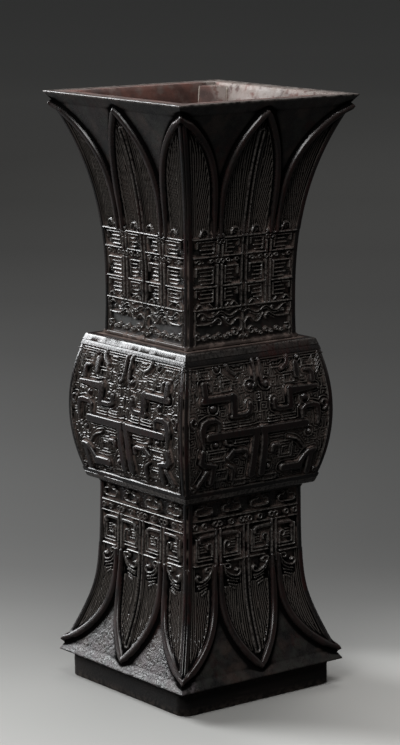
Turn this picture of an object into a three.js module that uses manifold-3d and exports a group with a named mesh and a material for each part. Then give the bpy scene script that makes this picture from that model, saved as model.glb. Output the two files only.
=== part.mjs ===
// A square horn vase of the gu form: a flared neck, a bulging belly and a skirted stem on a plinth.
// Four horn panels, mitred at the corners and backed by corner strips, make each of the three stages.
// Millimetres. The vase stands on z = 0 and its axis is Z. The front panels face -Y.

import * as THREE from 'three';
import { mergeVertices } from 'three/addons/utils/BufferGeometryUtils.js';
import Module from 'manifold-3d';

const wasm = await Module();
wasm.setup();

// Plinth
const plinthWidth = 76.6;
const plinthHeight = 10.5;
const plinthCornerRadius = 5;
const plinthTongueHeight = 3;

// Stem and skirt
const stemHeight = 73.3;
const stemWidth = 58.1;
const stemWall = 4.4;
const skirtWidth = 83;
const skirtLip = 7.5;
const skirtKneeHeight = 28.5;
const skirtSoftness = 12;

// Belly
const bellyHeight = 59.2;
const bellyWidth = 76.8;
const bellyEndWidth = 65.4;
const bellyWall = 4.6;
const baseStripThickness = 2.4;
const shoulderStripThickness = 2.7;
const floorThickness = 3.5;

// Neck
const neckHeight = 97;
const neckWaistWidth = 55;
const neckFootWidth = 55.6;
const neckWall = 4.6;
const rimWidth = 89.4;
const rimLip = 8.5;
const flarePower = 2.5;

// Joinery
const glueLine = 0.3;
const fitClearance = 0.3;
const tongueThickness = 2;
const cornerStripLeg = 8;

// Carved bands and leaves
const scrollBandHeight = 15.5;
const fretBandHeight = 27.9;
const upperFretHeight = 19.1;
const topFretHeight = 7.3;
const curlRowHeight = 4.2;
const archRowHeight = 2.8;
const loopBandHeight = 8.6;
const circleBandHeight = 4.4;
const hookBandHeight = 14.2;
const neckLeafMargin = 4.8;
const skirtLeafMargin = 4.2;
const neckLeafLength = 40;
const skirtLeafLength = 33;
const centreLeafFullness = 2;
const cornerLeafFullness = 2.8;

// Places and lengths as shares: of the half width, of a leaf, of the loop band and of a loop
const neckQuarterShare = 0.453;
const stemQuarterShare = 0.5;
const veinShare = 0.9;
const loopHeightShare = 1 / 3;
const loopOuterShare = 1 / 3;
const loopInnerShare = 1 / 4;

// Relief
const carveDepth = 1;
const ribWidth = 3.1;
const ribGroove = 0.1;
const ribRise = 1.9;
const veinWidth = 1.4;
const veinPitch = 2.2;
const veinRise = 1.3;
const beadWidth = 2.2;
const lineWidth = 0.9;
const lineRise = 1.4;
const quarterWidth = 1.35;
const quarterPitch = 2.2;
const quarterRise = 1.5;
const fretWidth = 0.7;
const fretRise = 1.3;
const fretBarRise = 1.1;
const fretInset = 1.25;
const fretClearance = 1.2;
const hookWidth = 0.9;
const hookReach = 2.7;
const loopWidth = 0.8;
const borderWidth = 2.6;
const borderEdge = 1.6;
const borderRise = 0.8;
const maskWidth = 3.2;
const jawWidth = maskWidth * 0.8;
const thinMaskWidth = maskWidth * 0.6;
const maskRise = 1.3;
const bossRadius = 1.7;
const smallBossRadius = bossRadius * 0.8;

// Heights of the seats between the stages
const skirtFootZ = plinthHeight;
const stemTopZ = skirtFootZ + stemHeight;
const bellyFootZ = stemTopZ + baseStripThickness;
const neckFootZ = stemTopZ + bellyHeight;
const bellyTopZ = neckFootZ - shoulderStripThickness;
const rimZ = neckFootZ + neckHeight;

// Heights of the carved bands
const fretFootZ = neckFootZ + scrollBandHeight;
const fretTopZ = fretFootZ + fretBandHeight;
const fretMiddleZ = fretTopZ - upperFretHeight;
const fretUpperZ = fretTopZ - topFretHeight;
const loopFootZ = stemTopZ - loopBandHeight;
const circleFootZ = loopFootZ - circleBandHeight;
const hookFootZ = circleFootZ - hookBandHeight;
const neckTipZ = rimZ - neckLeafMargin;
const skirtTipZ = skirtFootZ + skirtLeafMargin;

// Half widths of the three stages at a height z, over the carving and inside the wall

function flare(z) {
  return Math.max(0, (z - fretFootZ) / (rimZ - fretFootZ)) ** flarePower;
}

function neckSkin(z) {
  const footShare = Math.max(0, (fretFootZ - z) / scrollBandHeight) ** 2;
  const footFlare = (neckFootWidth - neckWaistWidth) / 2 * footShare;
  return neckWaistWidth / 2 + footFlare + (rimWidth - neckWaistWidth) / 2 * flare(z);
}

function neckInner(z) {
  const waistInner = neckWaistWidth / 2 - neckWall;
  const rimInner = rimWidth / 2 - rimLip;
  return waistInner + (rimInner - waistInner) * flare(z);
}

function bellySkin(z) {
  const sag = (bellyWidth - bellyEndWidth) / 2;
  const radius = ((bellyHeight / 2) ** 2 + sag ** 2) / (2 * sag);
  const fromMiddle = z - (stemTopZ + bellyHeight / 2);
  return bellyWidth / 2 - radius + Math.sqrt(radius ** 2 - fromMiddle ** 2);
}

function bellyInner(z) {
  return bellySkin(z) - bellyWall;
}

function skirtBend(z) {
  const belowKnee = skirtFootZ + skirtKneeHeight - z;
  return (belowKnee + Math.hypot(belowKnee, skirtSoftness)) / 2;
}

function stemSkin(z) {
  const spread = (skirtWidth - stemWidth) / 2;
  return stemWidth / 2 + spread * skirtBend(z) / skirtBend(skirtFootZ);
}

function stemInner(z) {
  const innerStem = stemWidth / 2 - stemWall;
  const spread = skirtWidth / 2 - skirtLip - innerStem;
  return innerStem + spread * skirtBend(z) / skirtBend(skirtFootZ);
}

// The ground lies below the carving and rises to the bare edge at the rim and at the foot.

function neckGround(z) {
  const share = Math.min(1, (rimZ - z) / neckLeafMargin);
  return neckSkin(z) - carveDepth * share;
}

function bellyGround(z) {
  return bellySkin(z) - carveDepth;
}

function stemGround(z) {
  const share = Math.min(1, (z - skirtFootZ) / skirtLeafMargin);
  return stemSkin(z) - carveDepth * share;
}

// Solids from closed meshes, and meshes from solids

function solidOf(geometry) {
  const bare = geometry.clone();
  bare.deleteAttribute('normal');
  bare.deleteAttribute('uv');
  const merged = mergeVertices(bare, 1e-5);
  const vertProperties = new Float32Array(merged.attributes.position.array);
  const triVerts = new Uint32Array(merged.index.array);
  return new wasm.Manifold(new wasm.Mesh({ numProp: 3, vertProperties, triVerts }));
}

function geometryOf(solid) {
  const mesh = solid.getMesh();
  const geometry = new THREE.BufferGeometry();
  geometry.setAttribute('position', new THREE.BufferAttribute(mesh.vertProperties, 3));
  geometry.setIndex(new THREE.BufferAttribute(mesh.triVerts, 1));
  geometry.computeVertexNormals();
  return geometry;
}

// A closed skin over rings of equally many points, capped at both ends.
function loft(rings) {
  const count = rings[0].length;
  const corners = rings.flat(2);
  const faces = [];
  for (let ring = 0; ring + 1 < rings.length; ring += 1) {
    for (let i = 0; i < count; i += 1) {
      const a = ring * count + i;
      const b = ring * count + (i + 1) % count;
      faces.push(a, b, b + count, a, b + count, a + count);
    }
  }
  const last = (rings.length - 1) * count;
  for (let i = 1; i + 1 < count; i += 1) {
    faces.push(0, i + 1, i, last, last + i, last + i + 1);
  }
  const geometry = new THREE.BufferGeometry();
  geometry.setAttribute('position', new THREE.Float32BufferAttribute(corners, 3));
  geometry.setIndex(facesOutward(corners, faces) ? faces : faces.reverse());
  geometry.computeVertexNormals();
  return geometry;
}

// Whether a closed skin's triangles are wound outward: the volume they add up to is then positive.
function facesOutward(corners, faces) {
  const at = (i) => new THREE.Vector3().fromArray(corners, 3 * i);
  let sum = 0;
  for (let i = 0; i < faces.length; i += 3) {
    sum += at(faces[i]).dot(at(faces[i + 1]).cross(at(faces[i + 2])));
  }
  return sum > 0;
}

function heights(from, to, steps) {
  return Array.from({ length: steps + 1 }, (_, i) => from + (to - from) * i / steps);
}

// A bar with the given section (distance out, height), long enough to pass both corners of the front.
function frontBar(section) {
  const reach = Math.max(...section.map(([out]) => out)) + glueLine;
  const shape = new THREE.Shape(section.map(([out, z]) => new THREE.Vector2(out, z)));
  const bar = new THREE.ExtrudeGeometry(shape, { depth: 2 * reach, bevelEnabled: false });
  const axes = new THREE.Matrix4().makeBasis(
    new THREE.Vector3(0, -1, 0), new THREE.Vector3(0, 0, 1), new THREE.Vector3(-1, 0, 0));
  bar.applyMatrix4(axes);
  bar.translate(reach, 0, 0);
  return solidOf(bar);
}

// The quarter of space that belongs to the front, with half a glue line taken off each mitre.
function frontQuarter() {
  const reach = rimWidth + skirtWidth;
  const apex = -glueLine / Math.SQRT2;
  const corners = [[0, apex], [-reach, apex - reach], [reach, apex - reach]];
  const shape = new THREE.Shape(corners.map(([x, y]) => new THREE.Vector2(x, y)));
  const wedge = new THREE.ExtrudeGeometry(shape, { depth: 2 * rimZ, bevelEnabled: false });
  wedge.translate(0, 0, -rimZ / 2);
  return solidOf(wedge);
}

const quarter = frontQuarter();

// Carving on the front: a point s across and z up, raised by rise over the ground.
function onGround(ground, s, z, rise) {
  const step = 0.01;
  const slope = (ground(z + step) - ground(z - step)) / (2 * step);
  const out = 1 / Math.hypot(1, slope);
  return [s, -(ground(z) + rise * out), z - rise * out * slope];
}

// How far a ridge is sunk into the panel, so that it grows out of it, and the least that the cosine of
// half a turn may shrink to, so that a sharp turn's mitre stays short
const ridgeRoot = 0.8;
const sharpestTurn = 0.7;
const flatSection = [[-1, 0], [-0.65, 1], [0.65, 1], [1, 0]];
const peakSection = [[-1.2, 0], [0, 1.1], [1.2, 0]];

// A ridge along a path of [s, z] points, with mitred turns.
function ridge(ground, path, width, rise, section = flatSection) {
  const rings = path.map(([s, z], i) => {
    const before = path[Math.max(0, i - 1)];
    const after = path[Math.min(path.length - 1, i + 1)];
    const into = new THREE.Vector2(s - before[0], z - before[1]).normalize();
    const away = new THREE.Vector2(after[0] - s, after[1] - z).normalize();
    const along = into.clone().add(away).normalize();
    const stretch = 1 / Math.max(sharpestTurn, along.dot(i > 0 ? into : away));
    const half = width / 2 * stretch;
    return section.map(([side, share]) => {
      const lift = share > 0 ? rise * share : -ridgeRoot;
      return onGround(ground, s - along.y * side * half, z + along.x * side * half, lift);
    });
  });
  return solidOf(loft(rings));
}

function thinRidge(ground, path, width, rise) {
  return ridge(ground, path, width, rise, peakSection);
}

// The path again, with long upright stretches broken so that they follow the curved ground.
function broken(path, longest = 9) {
  const points = [path[0]];
  for (let i = 1; i < path.length; i += 1) {
    const [s0, z0] = path[i - 1];
    const [s1, z1] = path[i];
    const parts = Math.max(1, Math.ceil(Math.abs(z1 - z0) / longest));
    for (let k = 1; k <= parts; k += 1) {
      points.push([s0 + (s1 - s0) * k / parts, z0 + (z1 - z0) * k / parts]);
    }
  }
  return points;
}

function boss(ground, s, z, radius) {
  const dome = new THREE.SphereGeometry(radius, 6, 4);
  dome.translate(...onGround(ground, s, z, 0));
  return solidOf(dome);
}

function bothSides(make) {
  return [make(-1), make(1)];
}

// Leaves: four to a ring, one at the middle of each face and one folded round each corner.

function leafShare(z, shoulderZ, tipZ, fullness) {
  const way = Math.max(0, (z - shoulderZ) / (tipZ - shoulderZ));
  return 1 - Math.min(1, way) ** fullness;
}

function leafRibs(skin, ground, rootZ, shoulderZ, tipZ) {
  const widest = (z) => skin(z) / 2 - (ribWidth + ribGroove) / 2;
  const stations = [rootZ, ...heights(shoulderZ, tipZ, 5)];
  const centre = (z) => widest(z) * leafShare(z, shoulderZ, tipZ, centreLeafFullness);
  const corner = (z) => skin(z) - widest(z) * leafShare(z, shoulderZ, tipZ, cornerLeafFullness);
  const rib = (edge, side) => {
    const path = stations.map((z) => [side * edge(z), z]);
    return ridge(ground, path, ribWidth, ribRise);
  };
  return [...bothSides((side) => rib(centre, side)), ...bothSides((side) => rib(corner, side))];
}

function leafVeins(ground, rootZ, tipZ) {
  const endZ = rootZ + (tipZ - rootZ) * veinShare;
  const path = (side) => heights(rootZ, endZ, 4).map((z) => [side * veinPitch / 2, z]);
  return bothSides((side) => ridge(ground, path(side), veinWidth, veinRise));
}

function cornerBeads(skin, ground, fromZ, toZ, steps, width) {
  const path = (side) => heights(fromZ, toZ, steps).map((z) => [side * (skin(z) - width / 2), z]);
  return bothSides((side) => ridge(ground, path(side), width, carveDepth));
}

function levelLine(skin, ground, z) {
  const reach = skin(z) - beadWidth / 2;
  return ridge(ground, [[-reach, z], [reach, z]], lineWidth, lineRise);
}

function borderLine(skin, ground, z) {
  const reach = skin(z) + 1;
  return ridge(ground, [[-reach, z], [reach, z]], 2 * borderEdge, borderRise);
}

// The pair of thin ridges that goes on from the ribs of two neighbouring leaves, on both halves
function quarterRidges(ground, middle, footZ, topZ) {
  const path = (s) => heights(footZ, topZ, 2).map((z) => [s, z]);
  const pair = (side) => [-1, 1].map((half) => side * (middle + half * quarterPitch / 2));
  return [...pair(-1), ...pair(1)].map((s) => ridge(ground, path(s), quarterWidth, quarterRise));
}

// Two columns of frets on each half, one beside the veins and one beside the corner bead. A column is
// the place of its outer and of its inner stroke, the inner one next to the quarter ridges.
function fretColumns(halfWidth, middle) {
  const besideQuarter = (quarterPitch + quarterWidth) / 2 + fretInset;
  const columns = [
    [(veinPitch + veinWidth) / 2 + fretInset, middle - besideQuarter],
    [halfWidth - beadWidth - fretInset, middle + besideQuarter],
  ];
  return bothSides((side) => columns.map((column) => column.map((s) => side * s))).flat();
}

// A key fret: a comb whose spine bends over at the top and hooks down in front of the bars.
function keyFret(ground, [outer, inner], footZ, topZ, bars) {
  const way = Math.sign(inner - outer);
  const hookEndZ = (footZ + topZ) / 2;
  const spine = [[inner, footZ], [inner, topZ], [outer, topZ], [outer, hookEndZ]];
  const comb = heights(footZ, topZ, bars).slice(0, bars);
  const bar = (z) => [[inner, z], [outer + way * fretInset, z]];
  return [
    thinRidge(ground, spine, fretWidth, fretRise),
    ...comb.map((z) => thinRidge(ground, bar(z), fretWidth, fretBarRise)),
  ];
}

function keyFrets(ground, columns) {
  const rows = [
    [fretUpperZ + fretClearance, fretTopZ - fretClearance, 3],
    [fretMiddleZ + fretClearance, fretUpperZ - curlRowHeight, 4],
    [fretFootZ + archRowHeight, fretMiddleZ - fretClearance, 3],
  ];
  return rows.flatMap((row) => columns.flatMap((column) => keyFret(ground, column, ...row)));
}

// A hooked fret: two nested angles under a curled hook, with a bar across the top.
function hookedFret(ground, [outer, inner]) {
  const way = Math.sign(inner - outer);
  const footZ = hookFootZ + 2 * fretClearance;
  const topZ = circleFootZ - fretClearance;
  const angle = (inset) => [
    [outer + way * inset, topZ],
    [outer + way * inset, footZ + inset],
    [inner, footZ + inset],
  ];
  const hookZ = (footZ + topZ) / 2 + fretWidth;
  const hook = [
    [inner, footZ + fretInset],
    [inner, hookZ - hookWidth],
    [inner - way * hookReach / 2, hookZ],
    [inner - way * hookReach, hookZ - hookWidth],
  ];
  const bar = [[inner - way * hookWidth, topZ], [outer + way * 2 * fretInset, topZ]];
  return [
    thinRidge(ground, angle(0), fretWidth, quarterRise),
    thinRidge(ground, angle(fretInset), fretWidth, fretRise),
    ridge(ground, hook, hookWidth, lineRise),
    ridge(ground, bar, hookWidth, fretBarRise),
  ];
}

// An open loop, flat and lying down, in the band above the rings
function openLoop(ground, [outer, inner]) {
  const way = Math.sign(inner - outer);
  const length = Math.abs(inner - outer);
  const middleZ = (loopFootZ + stemTopZ) / 2 - loopWidth;
  const reach = loopBandHeight * loopHeightShare / 2;
  const path = [
    [outer + way * length * loopOuterShare, middleZ + reach],
    [outer, middleZ + reach],
    [outer, middleZ - reach],
    [inner, middleZ - reach],
    [inner, middleZ + reach],
    [inner - way * length * loopInnerShare, middleZ + reach],
  ];
  return thinRidge(ground, path, loopWidth, lineRise);
}

// A panel: its plain section along the front, with the carving trimmed between two heights.
function panel(section, carving, footZ, topZ) {
  const slab = frontBar([[0, footZ], [rimWidth, footZ], [rimWidth, topZ], [0, topZ]]);
  const trimmed = carving.reduce((sum, ornament) => sum.add(ornament)).intersect(slab);
  return geometryOf(frontBar(section).add(trimmed).intersect(quarter));
}

// Neck panels

const neckQuarter = neckQuarterShare * neckWaistWidth / 2;

function neckPanel() {
  const outer = heights(neckFootZ, rimZ, 9).map((z) => [neckGround(z), z]);
  const inner = heights(bellyTopZ, rimZ, 8).map((z) => [neckInner(z), z]).reverse();
  const tongueOut = neckInner(bellyTopZ) + tongueThickness;
  const tongue = [[tongueOut, bellyTopZ], [tongueOut, neckFootZ]];
  const carving = [
    ...leafRibs(neckSkin, neckGround, fretTopZ - lineWidth / 2, neckTipZ - neckLeafLength, neckTipZ),
    ...leafVeins(neckGround, fretFootZ, neckTipZ),
    ...quarterRidges(neckGround, neckQuarter, fretFootZ, fretTopZ),
    ...keyFrets(neckGround, fretColumns(neckWaistWidth / 2, neckQuarter)),
    ...cornerBeads(neckSkin, neckGround, neckFootZ - beadWidth, neckTipZ, 6, beadWidth),
    levelLine(neckSkin, neckGround, fretMiddleZ),
    levelLine(neckSkin, neckGround, fretFootZ),
    levelLine(neckSkin, neckGround, fretTopZ),
  ];
  return panel([...outer, ...inner, ...tongue], carving, neckFootZ, rimZ);
}

// Belly panels. The mask is drawn on a field of 100 by 100: across from the middle line to the corner
// border, and up from the lower border to the upper one. Its two halves differ in their brow hooks.

const fieldFootZ = bellyFootZ + borderEdge;
const fieldTopZ = bellyTopZ - borderEdge;

function field([across, up], side) {
  const z = fieldFootZ + (fieldTopZ - fieldFootZ) * up / 100;
  return [side * (bellySkin(z) - borderWidth) * across / 100, z];
}

const nose = [[4, 100], [4, 80], [14, 80], [14, 85]];
const browToCorner = [[82, 86], [82, 75], [34, 75], [34, 60], [13, 60], [13, 68]];
const browBlock = [[86, 72], [42, 72], [42, 59], [20, 59], [20, 67]];
const topHook = [[67, 97], [64, 89], [34, 88]];
const arch = [[56, 52], [56, 59], [81, 59], [81, 46]];
const lip = [[73, 44], [7, 44], [7, 10]];
const jaw = [[79, 35], [80, 18], [57, 18], [57, 9]];
const eye = [63, 67];
const smallBosses = [[74, 30], [41, 14]];

function bellyPanel(hand) {
  const outer = heights(bellyFootZ, bellyTopZ, 6).map((z) => [bellyGround(z), z]);
  const inner = heights(bellyFootZ, bellyTopZ, 6).map((z) => [bellyInner(z), z]).reverse();
  const stroke = (path, side, width) =>
    ridge(bellyGround, broken(path.map((point) => field(point, side))), width, maskRise);
  const half = (side) => [
    stroke(nose, side, thinMaskWidth),
    stroke(side === hand ? browBlock : browToCorner, side, maskWidth),
    stroke(topHook, side, thinMaskWidth),
    stroke(arch, side, thinMaskWidth),
    stroke(lip, side, maskWidth),
    stroke(jaw, side, jawWidth),
    boss(bellyGround, ...field(eye, side), bossRadius),
    ...smallBosses.map((spot) => boss(bellyGround, ...field(spot, side), smallBossRadius)),
  ];
  const carving = [
    ...bothSides(half).flat(),
    ...cornerBeads(bellySkin, bellyGround, bellyFootZ - borderEdge, bellyTopZ + borderEdge, 7,
      borderWidth),
    borderLine(bellySkin, bellyGround, bellyFootZ),
    borderLine(bellySkin, bellyGround, bellyTopZ),
  ];
  return panel([...outer, ...inner], carving, bellyFootZ, bellyTopZ);
}

// Stem panels

const stemQuarter = stemQuarterShare * stemWidth / 2;

function stemPanel() {
  const columns = fretColumns(stemWidth / 2, stemQuarter);
  const outer = heights(skirtFootZ, stemTopZ, 8).map((z) => [stemGround(z), z]);
  const inner = heights(skirtFootZ, bellyFootZ, 7).map((z) => [stemInner(z), z]).reverse();
  const tongueOut = stemInner(stemTopZ) + tongueThickness;
  const tongue = [[tongueOut, stemTopZ], [tongueOut, bellyFootZ]];
  const carving = [
    ...leafRibs(stemSkin, stemGround, hookFootZ, skirtTipZ + skirtLeafLength, skirtTipZ),
    ...leafVeins(stemGround, circleFootZ, skirtTipZ),
    ...cornerBeads(stemSkin, stemGround, stemTopZ + beadWidth, skirtTipZ, 6, beadWidth),
    ...quarterRidges(stemGround, stemQuarter, hookFootZ - ribWidth, circleFootZ),
    ...columns.flatMap((column) => hookedFret(stemGround, column)),
    ...columns.map((column) => openLoop(stemGround, column)),
    levelLine(stemSkin, stemGround, loopFootZ),
    levelLine(stemSkin, stemGround, circleFootZ),
    levelLine(stemSkin, stemGround, hookFootZ),
  ];
  return panel([...outer, ...tongue, ...inner], carving, skirtFootZ, stemTopZ);
}

// Flat strips laid round the belly's two ends, their inner edges rebated over the tongues

function edgeStrip(footZ, topZ, innerEdge) {
  const section = [[bellySkin(footZ), footZ], [bellySkin(topZ), topZ], [innerEdge, topZ],
    [innerEdge, footZ]];
  return geometryOf(frontBar(section).intersect(quarter));
}

function shoulderStrip() {
  const innerEdge = neckInner(bellyTopZ) + tongueThickness + fitClearance;
  return edgeStrip(bellyTopZ, neckFootZ, innerEdge);
}

function baseStrip() {
  const innerEdge = stemInner(stemTopZ) + tongueThickness + fitClearance;
  return edgeStrip(stemTopZ, bellyFootZ, innerEdge);
}

// A three-sided strip glued into the inside corner of a stage, at the left of the front
function cornerStrip(inner, footZ, topZ, steps) {
  return loft(heights(footZ, topZ, steps).map((z) => {
    const corner = -(inner(z) - glueLine);
    const end = corner + cornerStripLeg;
    return [[corner, corner, z], [end, corner, z], [corner, end, z]];
  }));
}

// The plate that closes the vessel, laid on the base strips inside the belly panels
function vesselFloor() {
  const half = bellyInner(bellyFootZ) - fitClearance;
  const plate = new THREE.BoxGeometry(2 * half, 2 * half, floorThickness);
  plate.translate(0, 0, bellyFootZ + floorThickness / 2);
  return plate;
}

// The plinth board, with a raised tongue that fits inside the skirt
function roundedSquare(half, radius) {
  const shape = new THREE.Shape();
  const flat = half - radius;
  shape.moveTo(half, -flat);
  shape.lineTo(half, flat);
  shape.absarc(flat, flat, radius, 0, Math.PI / 2, false);
  shape.lineTo(-flat, half);
  shape.absarc(-flat, flat, radius, Math.PI / 2, Math.PI, false);
  shape.lineTo(-half, -flat);
  shape.absarc(-flat, -flat, radius, Math.PI, 1.5 * Math.PI, false);
  shape.lineTo(flat, -half);
  shape.absarc(flat, -flat, radius, 1.5 * Math.PI, 2 * Math.PI, false);
  return shape;
}

function plinthBoard() {
  const board = new THREE.ExtrudeGeometry(roundedSquare(plinthWidth / 2, plinthCornerRadius),
    { depth: plinthHeight, bevelEnabled: false, curveSegments: 6 });
  const half = stemInner(skirtFootZ + plinthTongueHeight) - fitClearance;
  const tongue = new THREE.BoxGeometry(2 * half, 2 * half, 2 * plinthTongueHeight);
  tongue.translate(0, 0, plinthHeight);
  return geometryOf(solidOf(board).add(solidOf(tongue)));
}

// Finishes

const horn = { color: 0x2a1d18, roughness: 0.38, metalness: 0 };
const innerHorn = { color: 0x4a2f26, roughness: 0.6, metalness: 0 };
const darkWood = { color: 0x1c1512, roughness: 0.75, metalness: 0 };

// Assembly

const vase = new THREE.Group();

function place(name, geometry, finish, turns = 0) {
  const mesh = new THREE.Mesh(geometry, new THREE.MeshStandardMaterial(finish));
  mesh.name = name;
  mesh.rotation.z = turns * Math.PI / 2;
  vase.add(mesh);
}

const sides = ['front', 'right', 'back', 'left'];
const corners = ['front_left', 'front_right', 'back_right', 'back_left'];

const neck = neckPanel();
const bellies = [bellyPanel(1), bellyPanel(-1)];
const stem = stemPanel();
const shoulder = shoulderStrip();
const base = baseStrip();

sides.forEach((side, turns) => {
  place(`neck_panel_${side}`, neck, horn, turns);
  place(`shoulder_strip_${side}`, shoulder, horn, turns);
  place(`belly_panel_${side}`, bellies[turns % 2], horn, turns);
  place(`base_strip_${side}`, base, horn, turns);
  place(`stem_panel_${side}`, stem, horn, turns);
});

const neckStrip = cornerStrip(neckInner, bellyTopZ, rimZ, 12);
const bellyStrip = cornerStrip(bellyInner, bellyFootZ + floorThickness + glueLine, bellyTopZ, 8);
const stemStrip = cornerStrip(stemInner, skirtFootZ + plinthTongueHeight + glueLine, bellyFootZ, 10);

corners.forEach((corner, turns) => {
  place(`neck_corner_strip_${corner}`, neckStrip, innerHorn, turns);
  place(`belly_corner_strip_${corner}`, bellyStrip, innerHorn, turns);
  place(`stem_corner_strip_${corner}`, stemStrip, innerHorn, turns);
});

place('vessel_floor', vesselFloor(), innerHorn);
place('plinth_board', plinthBoard(), darkWood);

export default vase;
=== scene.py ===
# %% [markdown]
# A square vase of carved horn, in the shape of the old bronze gu: a flared neck, a bulging belly
# and a stem that spreads into a skirt, on a thin dark plinth. Four panels, mitred at the corners,
# make each stage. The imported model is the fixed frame: it says where every panel and strip is, and
# the pieces made here stand in the same places, with the carving cut in full.

import math

import bpy
import numpy as np
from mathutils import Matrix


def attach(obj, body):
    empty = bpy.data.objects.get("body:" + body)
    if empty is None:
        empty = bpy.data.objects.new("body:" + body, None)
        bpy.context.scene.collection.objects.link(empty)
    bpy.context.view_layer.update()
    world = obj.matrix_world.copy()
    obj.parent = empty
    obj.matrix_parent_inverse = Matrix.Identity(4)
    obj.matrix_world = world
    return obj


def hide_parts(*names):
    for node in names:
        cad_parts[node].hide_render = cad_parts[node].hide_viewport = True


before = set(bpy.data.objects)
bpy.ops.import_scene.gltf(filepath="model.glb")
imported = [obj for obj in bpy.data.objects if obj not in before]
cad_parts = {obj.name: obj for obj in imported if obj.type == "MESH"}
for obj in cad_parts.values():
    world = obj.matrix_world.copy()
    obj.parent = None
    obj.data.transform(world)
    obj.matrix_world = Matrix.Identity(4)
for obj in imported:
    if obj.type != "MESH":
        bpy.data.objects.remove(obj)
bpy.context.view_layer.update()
mm = 0.001
sides = ("front", "right", "back", "left")
corners = ("front_left", "front_right", "back_right", "back_left")


# %% [markdown]
# The vase in numbers. A horn carver works from a side drawing, so the first thing to settle is how
# wide each stage is at each height. It could be read off a table of widths, but three short
# formulas say it better: a power curve for the flared neck, an arc for the belly and a soft bend
# for the skirt. They are plain functions, because the same ones are used twice: here on numbers,
# and further on with the sockets of a node tree in their place. Given the smaller sizes of its
# inner wall, a stage's formula gives that wall as well.

# %% Heights, in millimetres
rim_z, neck_foot_z, belly_top_z = 240.0, 143.0, 140.3
belly_foot_z, stem_top_z, skirt_foot_z = 86.2, 83.8, 10.5
fret_foot_z, fret_top_z = 158.5, 186.4
loop_foot_z, ring_foot_z, hook_foot_z = 75.2, 70.8, 56.6
neck_tip_z, neck_leaf_z = 235.2, 195.2
skirt_tip_z, skirt_leaf_z = 14.7, 47.7
knee_z, knee_softness = 39.0, 12.0
print("stages:", stem_top_z - skirt_foot_z, neck_foot_z - stem_top_z, rim_z - neck_foot_z, "mm")

# %% [markdown]
# A few sizes fix each curve. For the neck they are its half width at the waist, what the flare adds
# at the rim, and what the foot adds. For the belly they are its greatest half width and how far it
# bulges, and for the stem its half width above the knee and what the skirt adds at its foot.

# %% Sizes of the outer and the inner wall, in millimetres
neck_outside, neck_inside = (27.5, 17.2, 0.3), (22.9, 13.3, 0.0)
belly_outside, belly_inside = (38.4, 5.7), (33.8, 5.7)
stem_outside, stem_inside = (29.05, 12.45), (24.65, 9.35)
walls = ((neck_outside, neck_inside), (belly_outside, belly_inside), (stem_outside, stem_inside))
print("walls:", [round(outer[0] - inner[0], 2) for outer, inner in walls], "mm thick")


# %% Half width of each stage at a height
def greater(a, b):
    """The larger of the two, for numbers and for sockets alike."""
    return a.greater(b) if hasattr(a, "greater") else np.maximum(a, b)


def root(a):
    """The square root, for numbers and for sockets alike."""
    return a.root() if hasattr(a, "root") else np.sqrt(a)


def neck_skin(z, *sizes):
    """Half the neck's width at height z; without sizes, that of its outer wall."""
    waist, flare, foot = sizes or neck_outside
    up = greater((z - fret_foot_z) / (rim_z - fret_foot_z), 0.0)
    down = greater((fret_foot_z - z) / (fret_foot_z - neck_foot_z), 0.0)
    return waist + flare * up**2.5 + foot * down**2


def belly_skin(z, *sizes):
    widest, bulge = sizes or belly_outside
    half = (neck_foot_z - stem_top_z) / 2
    radius = (half**2 + bulge**2) / (2 * bulge)
    return widest - radius + root(radius**2 - (z - (stem_top_z + half)) ** 2)


def skirt_bend(z):
    """0 above the knee and growing evenly below it, with a soft bend between."""
    below = knee_z - z
    return (below + root(below**2 + knee_softness**2)) / 2


def stem_skin(z, *sizes):
    upright, spread = sizes or stem_outside
    return upright + spread * skirt_bend(z) / float(skirt_bend(skirt_foot_z))


middle_z = (belly_top_z + belly_foot_z) / 2
halves = (neck_skin(rim_z), belly_skin(middle_z), stem_skin(skirt_foot_z))
print("half widths at the rim, the belly and the foot:", [round(float(half), 2) for half in halves])


# %% [markdown]
# The carving. Each face is one sheet of horn about 5 mm thick with relief up to 2 mm high. It could
# be built from hundreds of little ridges laid on a plain wall, but cut relief has no joins, and its
# ground is filled with spirals finer than a millimetre. So a sheet is kept as a height map: a grid
# of points across and up the face, each with its rise over the ground. One call raises or lowers
# the points near a path, as a chisel does. The sheet also keeps how near each point is to a bold
# part of the mask, and how much hands have polished it. The relief becomes real mesh further on.

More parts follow.
